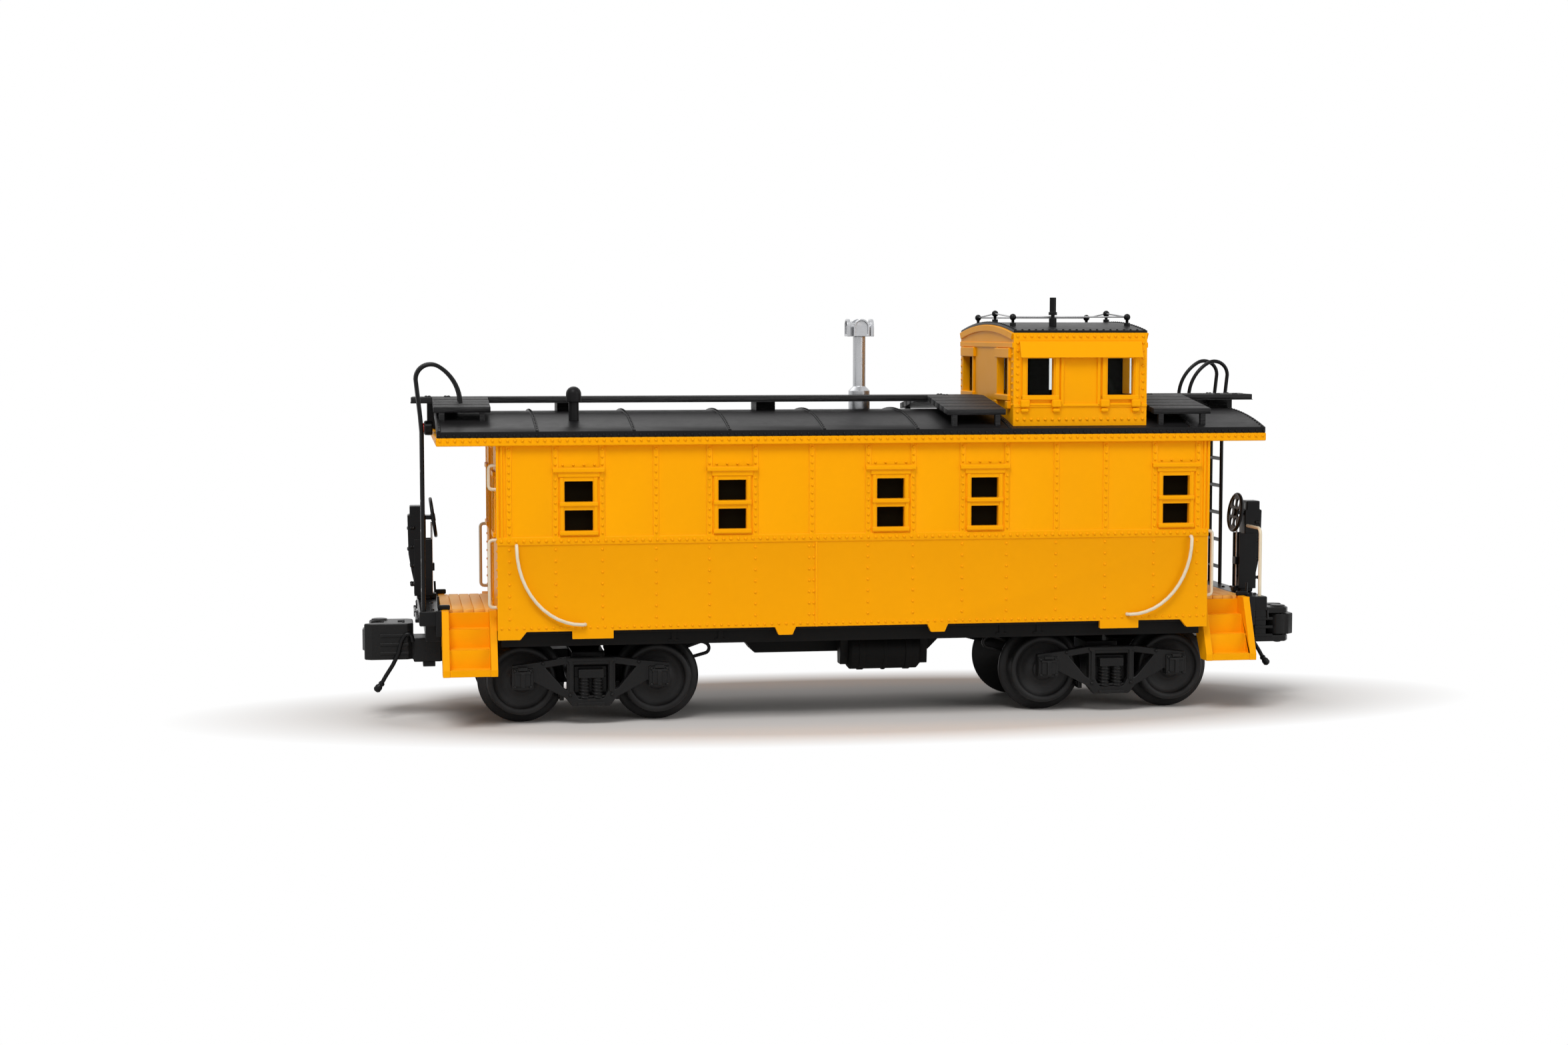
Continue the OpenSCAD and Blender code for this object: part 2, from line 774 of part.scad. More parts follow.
module cupola_glazing() {
    color("lightblue") {
        both_sides() for (x = [-1, 1] * cupola_window_pitch / 2)
            block([cupola_middle + x - cupola_window_width / 2 - casing, -cupola_half + wall,
                    cupola_window_sill - casing],
                [cupola_middle + x + cupola_window_width / 2 + casing, -cupola_half + wall + glass,
                    cupola_window_sill + cupola_window_height + casing]);
        for (x = [cupola_rear + wall, cupola_front - wall - glass], y = [-1, 1] * cupola_end_window_offset)
            block([x, y - cupola_end_window_width / 2 - casing, cupola_window_sill - casing],
                [x + glass, y + cupola_end_window_width / 2 + casing,
                    cupola_window_sill + cupola_window_height + casing]);
    }
}

module cupola_roof() {
    color(BLACK) along_x(cupola_rear, cupola_front)
        intersection() {
            translate([-cupola_half, cupola_eave - 1]) square([cupola_width, cupola_rise + 3]);
            difference() {
                under_arc(cupola_radius + cupola_sheet, cupola_crest + cupola_sheet);
                under_arc(cupola_radius, cupola_crest);
            }
        }
}

module cupola_visors() {
    color(YELLOW) both_sides()
        along_x(cupola_middle - visor_length / 2, cupola_middle + visor_length / 2)
            polygon([[-cupola_half, visor_top], [-cupola_half - visor_edge / 2, visor_top],
                [-cupola_half - visor_reach, visor_top - visor_height],
                [-cupola_half - visor_reach + visor_edge, visor_top - visor_height],
                [-cupola_half, visor_top - visor_height / 2]]);
}

function cupola_roof_at(y) =
    cupola_crest - cupola_radius + sqrt(pow(cupola_radius + cupola_sheet, 2) - y * y);

module cupola_handrail() {
    color(BLACK) for (x = stanchion_rows, y = stanchion_offsets)
        translate([x, y, cupola_roof_at(abs(y) + stanchion_diameter)]) {
            cylinder(d = 2 * stanchion_diameter, h = stanchion_diameter);
            cylinder(d = stanchion_diameter, h = stanchion_height);
            translate([0, 0, stanchion_height]) sphere(d = 2.2 * stanchion_diameter, $fn = 24);
        }
}

module whistle() {
    color(BLACK) translate([whistle_place[0], whistle_place[1], 0]) {
        base = cupola_roof_at(abs(whistle_place[1]) + whistle_diameter / 2);
        top = cupola_eave + whistle_height;
        translate([0, 0, base]) cylinder(d = whistle_diameter + 0.3, h = 2.2);
        translate([0, 0, base]) cylinder(d = whistle_diameter - 0.7, h = top - base - 1);
        translate([0, 0, top - whistle_bowl]) cylinder(d = whistle_diameter, h = whistle_bowl);
        translate([0, 0, top - whistle_bowl]) cylinder(d = whistle_diameter + 0.5, h = 0.8);
    }
}

// ---------------------------------------------------------------- smoke jack, vent, lamps

// Upright outline with a round top
module arch(width, height) {
    translate([-width / 2, 0]) square([width, height - width / 2]);
    translate([0, height - width / 2]) circle(width / 2);
}

// Four short arched branches on top of the tube, each with a dished round-topped mouth
module jack_cap() {
    reach = jack_cap_width / 2;
    for (turn = [0 : 90 : 270]) rotate([0, 0, turn]) {
        along_x(0, reach - jack_mouth / 2) arch(jack_branch, jack_cap_height - 2 * jack_rim);
        difference() {
            along_x(reach - jack_mouth, reach) arch(jack_ear, jack_cap_height);
            along_x(reach - jack_mouth / 2, reach + 1) translate([0, jack_rim])
                arch(jack_ear - 2 * jack_rim, jack_cap_height - 2 * jack_rim);
        }
    }
}

module smoke_jack() {
    color(STEEL) translate([jack_place[0], jack_place[1], 0]) {
        foot = roof_at(jack_place[1] + jack_collar / 2);
        cap = jack_top - jack_cap_height;
        collar_top = roof_top + jack_collar_height;
        translate([0, 0, foot]) cylinder(d = jack_collar, h = collar_top - foot);
        translate([0, 0, collar_top]) cylinder(d1 = jack_collar, d2 = jack_diameter, h = jack_cone);
        translate([0, 0, foot]) cylinder(d = jack_diameter, h = cap - foot + jack_cap_height / 2);
        translate([0, 0, cap]) jack_cap();
    }
}

module roof_vent() {
    color(BLACK) translate([vent_place[0], vent_place[1], 0]) {
        foot = roof_at(abs(vent_place[1]) + vent_diameter / 2);
        translate([0, 0, foot]) cylinder(d = vent_diameter, h = vent_top - foot - 2);
        translate([0, 0, vent_top - vent_cap_height])
            cylinder(d = vent_cap, h = vent_cap_height - vent_cap / 2);
        translate([0, 0, vent_top - vent_cap / 2]) sphere(d = vent_cap);
    }
}

module marker_lamps() {
    start = roof_length / 2 + strip_overhang;
    color(BLACK) both_ends() {
        block([start, -lamp_bracket[1] / 2, lamp_height],
            [start + lamp_bracket[0], lamp_bracket[1] / 2, walk_top - board]);
        translate([start, 0, lamp_height]) rotate([0, 90, 0])
            cylinder(d = lamp_diameter, h = lamp_length);
        translate([start + lamp_length, 0, lamp_height]) rotate([0, 90, 0])
            cylinder(d1 = lamp_diameter, d2 = lens_diameter, h = lamp_bezel);
    }
}

module marker_lenses() {
    color("red") both_ends()
        translate([roof_length / 2 + strip_overhang + lamp_length + lamp_bezel, 0, lamp_height])
            rotate([0, 90, 0]) cylinder(d1 = lens_diameter, d2 = lens_diameter - 0.6, h = lens_length);
}

// ---------------------------------------------------------------- grab irons

// Curved iron on each side wall, from under the belt rail down to the lower edge
module side_grab_irons() {
    root = -half_width;
    stand = root - iron_stand;
    top = belt_height - belt_width / 2;
    low = cabin_bottom + iron_foot;
    drop = top - iron_bend - low;
    foot = iron_top - iron_reach;
    curve = concat(
        [[iron_top, root, top], [iron_top, stand + iron_bend, top]],
        [for (a = [0 : 7.5 : 82.5])
            [foot + iron_reach * cos(a), stand, low + drop * (1 - sin(a))]],
        [[foot, stand + iron_bend / 3, low], [foot - iron_bend, stand + iron_bend, low],
            [foot - iron_bend, root, low]]);
    color(CREAM) both_sides() both_ends() wire(curve, grab_diameter, [1, 0, -1]);
}

// Upright irons at the corners of the end walls and a short one high on one side of each end
module end_grab_irons() {
    color(CREAM) both_ends() {
        both_sides() upright_iron(corner_grab_offset, low_iron[0], low_iron[1]);
        upright_iron(corner_grab_offset, high_iron[0], high_iron[1]);
    }
}

module upright_iron(y, low, high) {
    bend = grab_diameter;
    reach = half_length + grab_stand;
    wire(concat([[half_length, y, high]],
        arc_xz([reach - bend, high - bend], bend, 90, 0, y, 4),
        arc_xz([reach - bend, low + bend], bend, 0, -90, y, 4),
        [[half_length, y, low]]), grab_diameter, [0, 1, 0]);
}

// ---------------------------------------------------------------- platforms and steps

module platform_floors() {
    color(YELLOW) both_ends()
        block([half_length, -platform_half, platform_height - platform_board],
            [platform_end, platform_half, platform_height]);
}

module end_sills() {
    color(BLACK) both_ends() {
        block([platform_end, -sill_width / 2, platform_height - sill_lip],
            [sill_end, sill_width / 2, sill_top]);
        block([platform_end, -platform_half + 1, sill_web_bottom],
            [platform_end + sill_web, platform_half - 1, platform_height - sill_lip]);
    }
}

// Side plate of the steps, whose outer edge leans out from the platform to the bottom tread
module stringer_profile() {
    inner = step_outer - step_run - stringer_foot;
    polygon([[step_outer, step_bottom], [inner, step_bottom],
        [platform_half, platform_height - stringer_back], [platform_half, platform_height],
        [platform_half + stringer_top, platform_height], [step_outer, step_bottom + bottom_tread]]);
}

// Treads and risers folded from one sheet, over a thick bottom tread
module tread_profile() {
    for (i = [0 : step_count - 1]) {
        inner = step_outer - tread_inset - (i + 1) * step_run - tread;
        height = step_bottom + bottom_tread + i * step_rise;
        translate([inner, height - tread]) square([step_run + tread, tread]);
        translate([inner, height - tread]) square([tread, step_rise]);
    }
    translate([step_outer - tread_inset - step_run, step_bottom]) square([step_run, bottom_tread]);
}

module step_set() {
    for (x = [half_length, platform_end - stringer])
        along_x(x, x + stringer) stringer_profile();
    along_x(half_length + stringer, platform_end - stringer) tread_profile();
    // ear beside the end sill
    block([platform_end - stringer, sill_width / 2, platform_height - sill_ear],
        [platform_end + ear_thickness, platform_half + stringer_top, platform_height]);
}

module steps_front() {
    color(YELLOW) both_sides() step_set();
}

module steps_rear() {
    color(YELLOW) rear() both_sides() step_set();
}

// ---------------------------------------------------------------- ladders and railings

// One rail: up from the end sill, over in a bow, and down to the side board
module ladder_side(y) {
    foot_height = walk_top - (y - walk_width / 2) * tan(board_slope);
    bow = ladder_bend;
    wire(concat([[ladder_reach, y, sill_top], [ladder_reach, y, roof_bottom + roof_edge]],
        arc_xz([ladder_reach + ladder_lean - bow, ladder_apex - bow], bow, 0, 120, y, 9),
        [[ladder_foot + 2.9, y, ladder_apex - 2.9], [ladder_foot + 0.8, y, ladder_apex - 6.2],
            [ladder_foot, y, foot_height + 2 * ladder_rail], [ladder_foot, y, foot_height]]),
        ladder_rail, [0, 1, 0]);
}

module ladder() {
    for (side = [-1, 1]) ladder_side(ladder_middle + side * ladder_width / 2);
    for (i = [0 : rung_count - 1])
        translate([ladder_reach, ladder_middle, platform_height + first_rung + i * rung_pitch])
            rotate([90, 0, 0]) rotate([0, 0, 22.5])
                cylinder(d = ladder_rail, h = ladder_width, center = true, $fn = 8);
}

module ladder_front() {
    color(BLACK) ladder();
}

module ladder_rear() {
    color(BLACK) rear() ladder();
}

// White rail from the brake stand to a post at the step corner
module end_railings() {
    color(CREAM) both_ends()
        wire(concat([[railing_reach, -brake_offset - stand_width / 2, railing_top]],
            arc_yz([railing_bend - railing_corner, railing_top - railing_bend], railing_bend,
                90, 180, railing_reach, 5),
            [[railing_reach, -railing_corner, sill_top]]), grab_diameter, [1, 0, 0]);
}

// Side of the brake stand: a foot on the end sill, a leaning post and a cap
module stand_profile() {
    cap = stand_top + stand_cap;
    polygon([[stand_inner + 0.5, cap], [stand_inner + 0.5, stand_top],
        [stand_inner, stand_top], [stand_inner, sill_top + 8], [stand_inner - 0.7, sill_top + 4],
        [stand_inner - 1.2, sill_top], [sill_end, sill_top], [sill_end + 0.3, sill_top + 2],
        [stand_outer - 0.9, sill_top + 7.6], [stand_outer - 0.2, sill_top + 12],
        [stand_outer, stand_top], [stand_outer - 0.6, stand_top], [stand_outer - 0.6, cap]]);
}

module brake_stands() {
    color(BLACK) both_ends() {
        along_y(-brake_offset - stand_width / 2, -brake_offset + stand_width / 2) stand_profile();
        // rod bracket on the end sill
        translate([rod_reach - rod_bracket[0] / 2, -brake_offset - rod_bracket[1] / 2, sill_top])
            cube(rod_bracket);
    }
}

module brake_wheels() {
    middle = stand_inner - brake_wheel_gap - brake_rim / 2;
    r = brake_wheel_diameter / 2;
    color(BLACK) both_ends() translate([middle, -brake_offset, platform_height + brake_height]) {
        rotate([0, 90 + brake_wheel_lean, 0]) {
            rotate_extrude() translate([r - brake_rim / 2, 0]) circle(d = brake_rim, $fn = 16);
            difference() {
                cylinder(r = r - brake_rim / 2, h = brake_web, center = true);
                for (a = [0 : 60 : 300]) rotate([0, 0, a + 30]) translate([r * 0.56, 0, 0])
                    cylinder(d = r * 0.42, h = 2, center = true);
            }
            cylinder(d = brake_hub, h = 2.4 * brake_web, center = true);
        }
        rotate([0, 90, 0]) cylinder(d = 0.6 * brake_hub, h = brake_wheel_gap + brake_rim / 2);
    }
}

module brake_rods() {
    foot = sill_top + rod_bracket[2];
    color(STEEL) both_ends() translate([rod_reach, -brake_offset, foot])
        cylinder(d = brake_rod, h = platform_height + brake_height - 0.6 * brake_hub - foot);
}

// ---------------------------------------------------------------- underframe

module car_floor() {
    color(BLACK) block([-half_length + wall, -half_width + wall, floor_bottom],
        [half_length - wall, half_width - wall, floor_bottom + floor_thickness]);
}

module centre_sill() {
    shallow_end = truck_place - car_bolster_length / 2;
    color(BLACK) along_y(-sill_half, sill_half)
        polygon([[-shallow_end, floor_bottom], [-shallow_end, sill_shallow], [-33, sill_shallow],
            [-28, sill_step], [-24, sill_deep], [23, sill_deep], [28, sill_step],
            [31, sill_shallow], [shallow_end, sill_shallow], [shallow_end, floor_bottom]]);
}

module car_bolsters() {
    color(BLACK) both_ends() translate([truck_place, 0, 0])
        along_x(-car_bolster_length / 2, car_bolster_length / 2)
            polygon([[-car_bolster_half, floor_bottom], [-car_bolster_half, floor_bottom - bolster_tip],
                [-bolster_pad, car_bolster_bottom], [bolster_pad, car_bolster_bottom],
                [car_bolster_half, floor_bottom - bolster_tip], [car_bolster_half, floor_bottom]]);
}

module kingpins() {
    head_top_z = truck_bolster_bottom - plate_gap;
    color(STEEL) both_ends() translate([truck_place, 0, 0]) {
        translate([0, 0, head_top_z]) cylinder(d = kingpin_diameter, h = car_bolster_bottom - head_top_z);
        translate([0, 0, head_top_z - pin_head]) cylinder(d = 2 * kingpin_diameter, h = pin_head);
    }
}

module air_tank() {
    ends = [tank_middle[0] - tank_length / 2, tank_middle[0] + tank_length / 2];
    color(BLACK) {
        translate([tank_middle[0], tank_middle[1], tank_height]) rotate([0, 90, 0]) {
            cylinder(r = tank_radius, h = tank_dish, center = true);
            cylinder(r = tank_radius - 0.3, h = tank_length - 2 * tank_dish, center = true);
            for (side = [0, 180]) rotate([side, 0, 0]) translate([0, 0, tank_length / 2 - tank_dish])
                cylinder(r1 = tank_radius - 0.3, r2 = tank_radius - 1.2, h = tank_dish);
        }
        for (x = [ends[0] - hanger, ends[1]])
            along_x(x, x + hanger)
                polygon([[tank_middle[1] - 3, floor_bottom], [tank_middle[1] - 2, tank_height - hanger_foot],
                    [tank_middle[1] + 2, tank_height - hanger_foot], [tank_middle[1] + 3, floor_bottom]]);
    }
}

// ---------------------------------------------------------------- trucks

module at_truck() {
    translate([truck_place, 0, 0]) children();
}

module truck_bolster() {
    color(BLACK) difference() {
        union() {
            block([-truck_bolster_half, -frame_offset, truck_bolster_bottom],
                [truck_bolster_half, frame_offset, box_top]);
            block([-truck_bolster_half, bolster_ledge - frame_offset, truck_bolster_bottom],
                [truck_bolster_half, frame_offset - bolster_ledge, truck_bolster_top]);
            cylinder(d = plate_diameter, h = plate_top);
        }
        translate([0, 0, -1]) cylinder(d = 2 * plate_diameter, h = truck_bolster_bottom + 1);
        cylinder(d = kingpin_diameter + 2 * running_clearance, h = through);
    }
}

module side_frame_outline() {
    box_outer = truck_half + box_width / 2;
    box_inner = truck_half - box_width / 2;
    half = [[6.5, frame_top], [13, frame_top - 1], [box_outer, box_top + 0.7], [box_outer, box_bottom],
        [box_inner, box_bottom], [box_inner, box_bottom + 1.7], [6.6, frame_low + 2.2], [4.8, frame_low]];
    polygon(concat(half, [for (i = [len(half) - 1 : -1 : 0]) [-half[i][0], half[i][1]]]));
}

// Two triangular windows and the deep one for the springs between them
module side_frame_windows() {
    for (side = [-1, 1])
        polygon([[side * 11.6, frame_top - 2.5], [side * 6.2, frame_top - 1.7],
            [side * 6.2, axle_height - 2.1], [side * 7, axle_height - 1.6]]);
    polygon([[-4.4, frame_top - 1.9], [4.4, frame_top - 1.9], [4.4, axle_height - 2.3],
        [3.2, frame_low + 2], [-3.2, frame_low + 2], [-4.4, axle_height - 2.3]]);
}

module side_frames() {
    color(BLACK) both_sides() difference() {
        union() {
            along_y(frame_offset, frame_offset + frame_thickness) difference() {
                side_frame_outline();
                side_frame_windows();
            }
            for (side = [-1, 1]) translate([side * truck_half, 0, 0]) {
                block([-box_width / 2, frame_offset, box_bottom],
                    [box_width / 2, frame_offset + frame_thickness + box_stand, box_top]);
                block([lid_inset - box_width / 2, frame_offset, box_bottom + lid_inset],
                    [box_width / 2 - lid_inset, frame_offset + frame_thickness + box_stand + lid_stand,
                        box_top - lid_inset]);
            }
        }
        for (side = [-1, 1]) translate([side * truck_half, 0, axle_height]) rotate([-90, 0, 0])
            cylinder(d = journal_diameter + 2 * running_clearance, h = journal_end + running_clearance);
    }
}

// Bolster end and springs seen in the middle window of each side frame
module springs() {
    color(BLACK) both_sides() {
        seat = frame_low + 2;
        top = axle_height + 1;
        block([-3.2, frame_offset, top], [3.2, frame_offset + frame_thickness + 0.3, top + spring_plank]);
        for (x = [-spring_offset, spring_offset])
            translate([x, frame_offset + frame_thickness / 2, seat])
                cylinder(d = spring_diameter, h = top - seat);
    }
}

// Axle with its two wheels, turned in one piece, at distance x from the middle of the car
module wheelset(x) {
    inner = back_to_back / 2;
    rim = inner + wheel_width;
    tread_r = tread_diameter / 2;
    flange_r = flange_diameter / 2;
    lip = flange_r - tread_r;
    tip = journal_end - journal_play;
    half = [[flange_r - 0.5, inner], [flange_r, inner + 0.4], [flange_r, inner + 0.9],
        [tread_r + lip / 4, inner + 1.6], [tread_r + lip / 10, inner + 2.1], [tread_r - 0.2, rim - 0.3],
        [tread_r - 0.5, rim], [tread_r - 1.6, rim], [tread_r - 2, rim - 0.9],
        [tread_r - 4.6, rim - 1.5], [2.9, rim - 0.9], [2.6, rim - 0.2],
        [journal_diameter / 2, rim - 0.2], [journal_diameter / 2, tip], [0, tip]];
    back = [[axle_diameter / 2, 0], [axle_diameter / 2, inner]];
    outline = concat(back, half);
    color("#3a3a3a") translate([x, 0, axle_height]) rotate([-90, 0, 0]) rotate_extrude($fn = 96)
        polygon(concat(outline, [for (i = [len(outline) - 1 : -1 : 1]) [outline[i][0], -outline[i][1]]]));
}

// ---------------------------------------------------------------- couplers

// Arm from the truck bolster, draft block and head with its upper and lower jaws
module coupler() {
    reach = truck_place + truck_bolster_half;
    color(BLACK) {
        block([reach, -arm_half, arm_bottom], [platform_end, arm_half, arm_top]);
        block([platform_end - draft_side / 2, -arm_half - draft_side, arm_bottom],
            [head_back, arm_half + draft_side, draft_top]);
        difference() {
            translate([0, 0, head_bottom]) linear_extrude(head_height) head_outline();
            // slot in which the knuckle swings
            block([head_back + slot_start, -head_width, head_bottom + jaw],
                [coupler_face + 1, slot_side, head_top - jaw]);
        }
        translate([pin_place[0], pin_place[1], head_bottom - pin_rivet / 2]) {
            cylinder(d = knuckle_pin, h = head_height + pin_rivet);
            translate([0, 0, head_height]) cylinder(d = 2 * knuckle_pin, h = pin_rivet);
        }
    }
}

module head_outline() {
    half = head_width / 2;
    polygon([[head_back, half - 1.2], [head_back + 1.4, half], [coupler_face - 2.4, half],
        [coupler_face - 0.6, half - 1], [coupler_face - 0.6, half - 2], [coupler_face - 3, half - 3.2],
        [coupler_face - 5.6, 2.2], [coupler_face - 5.8, -0.6], [coupler_face - 2.4, -1.6],
        [coupler_face - 1.8, 1.8 - half], [coupler_face - 3, -half], [head_back + 1.4, -half],
        [head_back, 1.2 - half]]);
}

module knuckle() {
    thick = head_height - 2 * (jaw + jaw_gap);
    color(BLACK) translate([pin_place[0], pin_place[1], head_bottom + jaw + jaw_gap])
        difference() {
            union() {
                cylinder(r = knuckle_eye, h = thick);
                linear_extrude(thick) polygon([[0, -1.8], [2.4, -2.2], [4.3, -0.4], [4.4, 3.2],
                    [3.6, 5.2], [2.3, 5.2], [2.2, 3.6], [1.9, 2.4], [0.2, 1.8]]);
            }
            translate([0, 0, -1]) cylinder(r = knuckle_pin / 2 + running_clearance, h = thick + 2);
        }
}

// Moulded hose hanging from the coupler, with its coupling at the lower end
module air_hose() {
    side = head_width / 2 + hose_diameter / 2 * cos(180 / 8);
    bends = [[0.1, 0.2], [0.4, 1.5], [1.3, 2.2], [2.3, 1.5], [3.5, -1.1], [4.4, -4.3], [6.1, -7],
        [7.6, -9.8], [8.6, -11.7]];
    route = [for (b = bends) [head_back + b[0], side, coupler_height + b[1]]];
    color(BLACK) {
        wire(route, hose_diameter, [0, 1, 0]);
        translate(route[len(route) - 1]) rotate([0, 28, 0]) cube(hose_coupling, center = true);
    }
}

// ---------------------------------------------------------------- nodes

body_shell();
side_glazing();
end_glazing();
end_doors();
roof();
eave_strip();
roof_walk();
end_side_boards();
cupola_side_boards();
cupola_shell();
cupola_glazing();
cupola_roof();
cupola_visors();
cupola_handrail();
whistle();
smoke_jack();
roof_vent();
marker_lamps();
marker_lenses();
side_grab_irons();
end_grab_irons();
platform_floors();
end_sills();
steps_front();
steps_rear();
ladder_front();
ladder_rear();
end_railings();
brake_stands();
brake_wheels();
brake_rods();
car_floor();
centre_sill();
car_bolsters();
kingpins();
air_tank();
at_truck() truck_bolster();  // truck_front_bolster
at_truck() side_frames();  // truck_front_side_frames
at_truck() springs();  // truck_front_springs
coupler();  // truck_front_coupler
air_hose();  // truck_front_air_hose
knuckle();  // knuckle_front
wheelset(truck_place + truck_half);  // wheelset_front_outer
wheelset(truck_place - truck_half);  // wheelset_front_inner
rear() at_truck() truck_bolster();  // truck_rear_bolster
rear() at_truck() side_frames();  // truck_rear_side_frames
rear() at_truck() springs();  // truck_rear_springs
rear() coupler();  // truck_rear_coupler
rear() air_hose();  // truck_rear_air_hose
rear() knuckle();  // knuckle_rear
rear() wheelset(truck_place + truck_half);  // wheelset_rear_outer
rear() wheelset(truck_place - truck_half);  // wheelset_rear_inner
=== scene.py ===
"""Looks of the model caboose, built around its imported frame.

Sizes are in millimetres until a mesh is made; +X is the cupola end, +Y is across, +Z is up.
End details are written for the front end and turned by half a turn for the rear end.
"""

import json
import math

import bmesh
import bpy
from mathutils import Matrix, Vector


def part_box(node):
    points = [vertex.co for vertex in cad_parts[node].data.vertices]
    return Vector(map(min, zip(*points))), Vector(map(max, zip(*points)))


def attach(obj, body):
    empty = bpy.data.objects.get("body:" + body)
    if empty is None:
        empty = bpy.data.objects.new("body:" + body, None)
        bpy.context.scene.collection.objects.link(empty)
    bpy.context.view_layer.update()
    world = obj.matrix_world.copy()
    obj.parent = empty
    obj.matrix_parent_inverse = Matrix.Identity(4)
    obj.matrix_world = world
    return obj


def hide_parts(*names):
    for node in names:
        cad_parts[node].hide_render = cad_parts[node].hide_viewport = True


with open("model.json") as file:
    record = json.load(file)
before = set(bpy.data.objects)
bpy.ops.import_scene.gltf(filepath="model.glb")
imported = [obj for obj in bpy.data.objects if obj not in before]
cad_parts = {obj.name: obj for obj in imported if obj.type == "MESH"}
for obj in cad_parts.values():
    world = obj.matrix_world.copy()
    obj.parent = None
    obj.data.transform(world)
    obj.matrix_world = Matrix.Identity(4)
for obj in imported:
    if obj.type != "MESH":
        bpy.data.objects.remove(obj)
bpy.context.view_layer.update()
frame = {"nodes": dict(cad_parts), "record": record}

MM = 0.001
MERGE = 0.001 * MM
FLAT = math.radians(0.8)

# ---------------------------------------------------------------- places taken from the frame


def span(node):
    """Lowest and highest corner of a CAD node, in millimetres."""
    low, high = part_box(node)
    return low / MM, high / MM


def cad_mesh(node):
    """A copy of the mesh of a CAD node, with the corners that meet made one."""
    bm = bmesh.new()
    bm.from_mesh(frame["nodes"][node].data)
    bmesh.ops.remove_doubles(bm, verts=bm.verts, dist=MERGE)
    return bm


def merge_flat_faces(bm):
    """Joins the faces that lie in one plane."""
    bmesh.ops.dissolve_limit(bm, angle_limit=FLAT, verts=bm.verts, edges=bm.edges)


def solids(node):
    """Lowest and highest corner of each separate solid of a CAD node, in millimetres."""
    bm = cad_mesh(node)
    seen, found = set(), []
    for start in bm.verts:
        if start in seen:
            continue
        seen.add(start)
        island, queue = [], [start]
        while queue:
            vert = queue.pop()
            island.append(vert.co / MM)
            for edge in vert.link_edges:
                other = edge.other_vert(vert)
                if other not in seen:
                    seen.add(other)
                    queue.append(other)
        found.append(tuple(Vector(pick(co[i] for co in island) for i in range(3)) for pick in (min, max)))
    bm.free()
    return found


WALL = 1.5
TRIM = 0.3
CABIN_LOW, CABIN_HIGH = span("body_shell")
HALF_LENGTH = CABIN_HIGH.x
HALF_WIDTH = span("car_floor")[1].y + WALL
ROOF_LOW, ROOF_HIGH = span("roof")
EAVE_LOW, EAVE_HIGH = span("eave_strip")
CABIN_BOTTOM = CABIN_LOW.z + 2
WALK_LOW, WALK_HIGH = span("roof_walk")
CUPOLA_LOW, CUPOLA_HIGH = span("cupola_roof")
SHELL_TOP = span("cupola_shell")[1].z
PLATFORM_LOW, PLATFORM_HIGH = span("platform_floors")
SILL_HIGH = span("end_sills")[1]
TRUCK_LOW, TRUCK_HIGH = span("truck_front_side_frames")
TRUCK_X = (TRUCK_LOW.x + TRUCK_HIGH.x) / 2
WHEEL_LOW, WHEEL_HIGH = span("wheelset_front_outer")
AXLE_X = (WHEEL_LOW.x + WHEEL_HIGH.x) / 2
AXLE_Z = (WHEEL_LOW.z + WHEEL_HIGH.z) / 2
COUPLER_HIGH = span("truck_front_coupler")[1]

PANES = solids("side_glazing")
WINDOWS = sorted((low.x + high.x) / 2 for low, high in PANES if high.y < 0)
GLAZING = PANES[0]
CASING = 1.2
WINDOW_HALF = (GLAZING[1].x - GLAZING[0].x) / 2 - CASING
WINDOW_SILL = GLAZING[0].z + CASING
WINDOW_TOP = GLAZING[1].z - CASING
BELT = WINDOW_SILL - 2.5
EAR_REACH = 5.55
BOARD = 1.6

ROOF_EDGE_TOP = ROOF_LOW.z + 1.5
ROOF_RISE = 4.2
ROOF_RADIUS = (ROOF_HIGH.y ** 2 + ROOF_RISE ** 2) / (2 * ROOF_RISE)
ROOF_CENTRE = ROOF_EDGE_TOP + ROOF_RISE - ROOF_RADIUS
CUPOLA_HALF = span("cupola_roof")[1].y
CUPOLA_RISE = 2.2
CUPOLA_RADIUS = (CUPOLA_HALF ** 2 + CUPOLA_RISE ** 2) / (2 * CUPOLA_RISE)
CUPOLA_SHEET = 0.6
CUPOLA_EAVE = SHELL_TOP - CUPOLA_RISE
CUPOLA_MIDDLE = (CUPOLA_LOW.x + CUPOLA_HIGH.x) / 2


def roof_at(y):
    """Height of the top of the main roof at distance y from the middle."""
    return ROOF_CENTRE + math.sqrt(ROOF_RADIUS ** 2 - y * y)


def cupola_at(y, rise=0.0):
    """Height of the arc of the cupola roof, or of one that lies `rise` above it."""
    return SHELL_TOP - CUPOLA_RADIUS + math.sqrt((CUPOLA_RADIUS + rise) ** 2 - y * y)


def panels_between(start, end, width=13.4):
    """Places that divide a wall into panels of about one width."""
    count = max(1, round((end - start) / width))
    return [start + (end - start) * i / count for i in range(count + 1)]


BATTEN_SIDE = WINDOW_HALF + 2.3
BATTENS = [3 - HALF_LENGTH, WINDOWS[0] - BATTEN_SIDE]
for left, right in zip(WINDOWS, WINDOWS[1:]):
    BATTENS += panels_between(left + BATTEN_SIDE, right - BATTEN_SIDE)
BATTENS.append(WINDOWS[-1] + BATTEN_SIDE)

# ---------------------------------------------------------------- node helpers


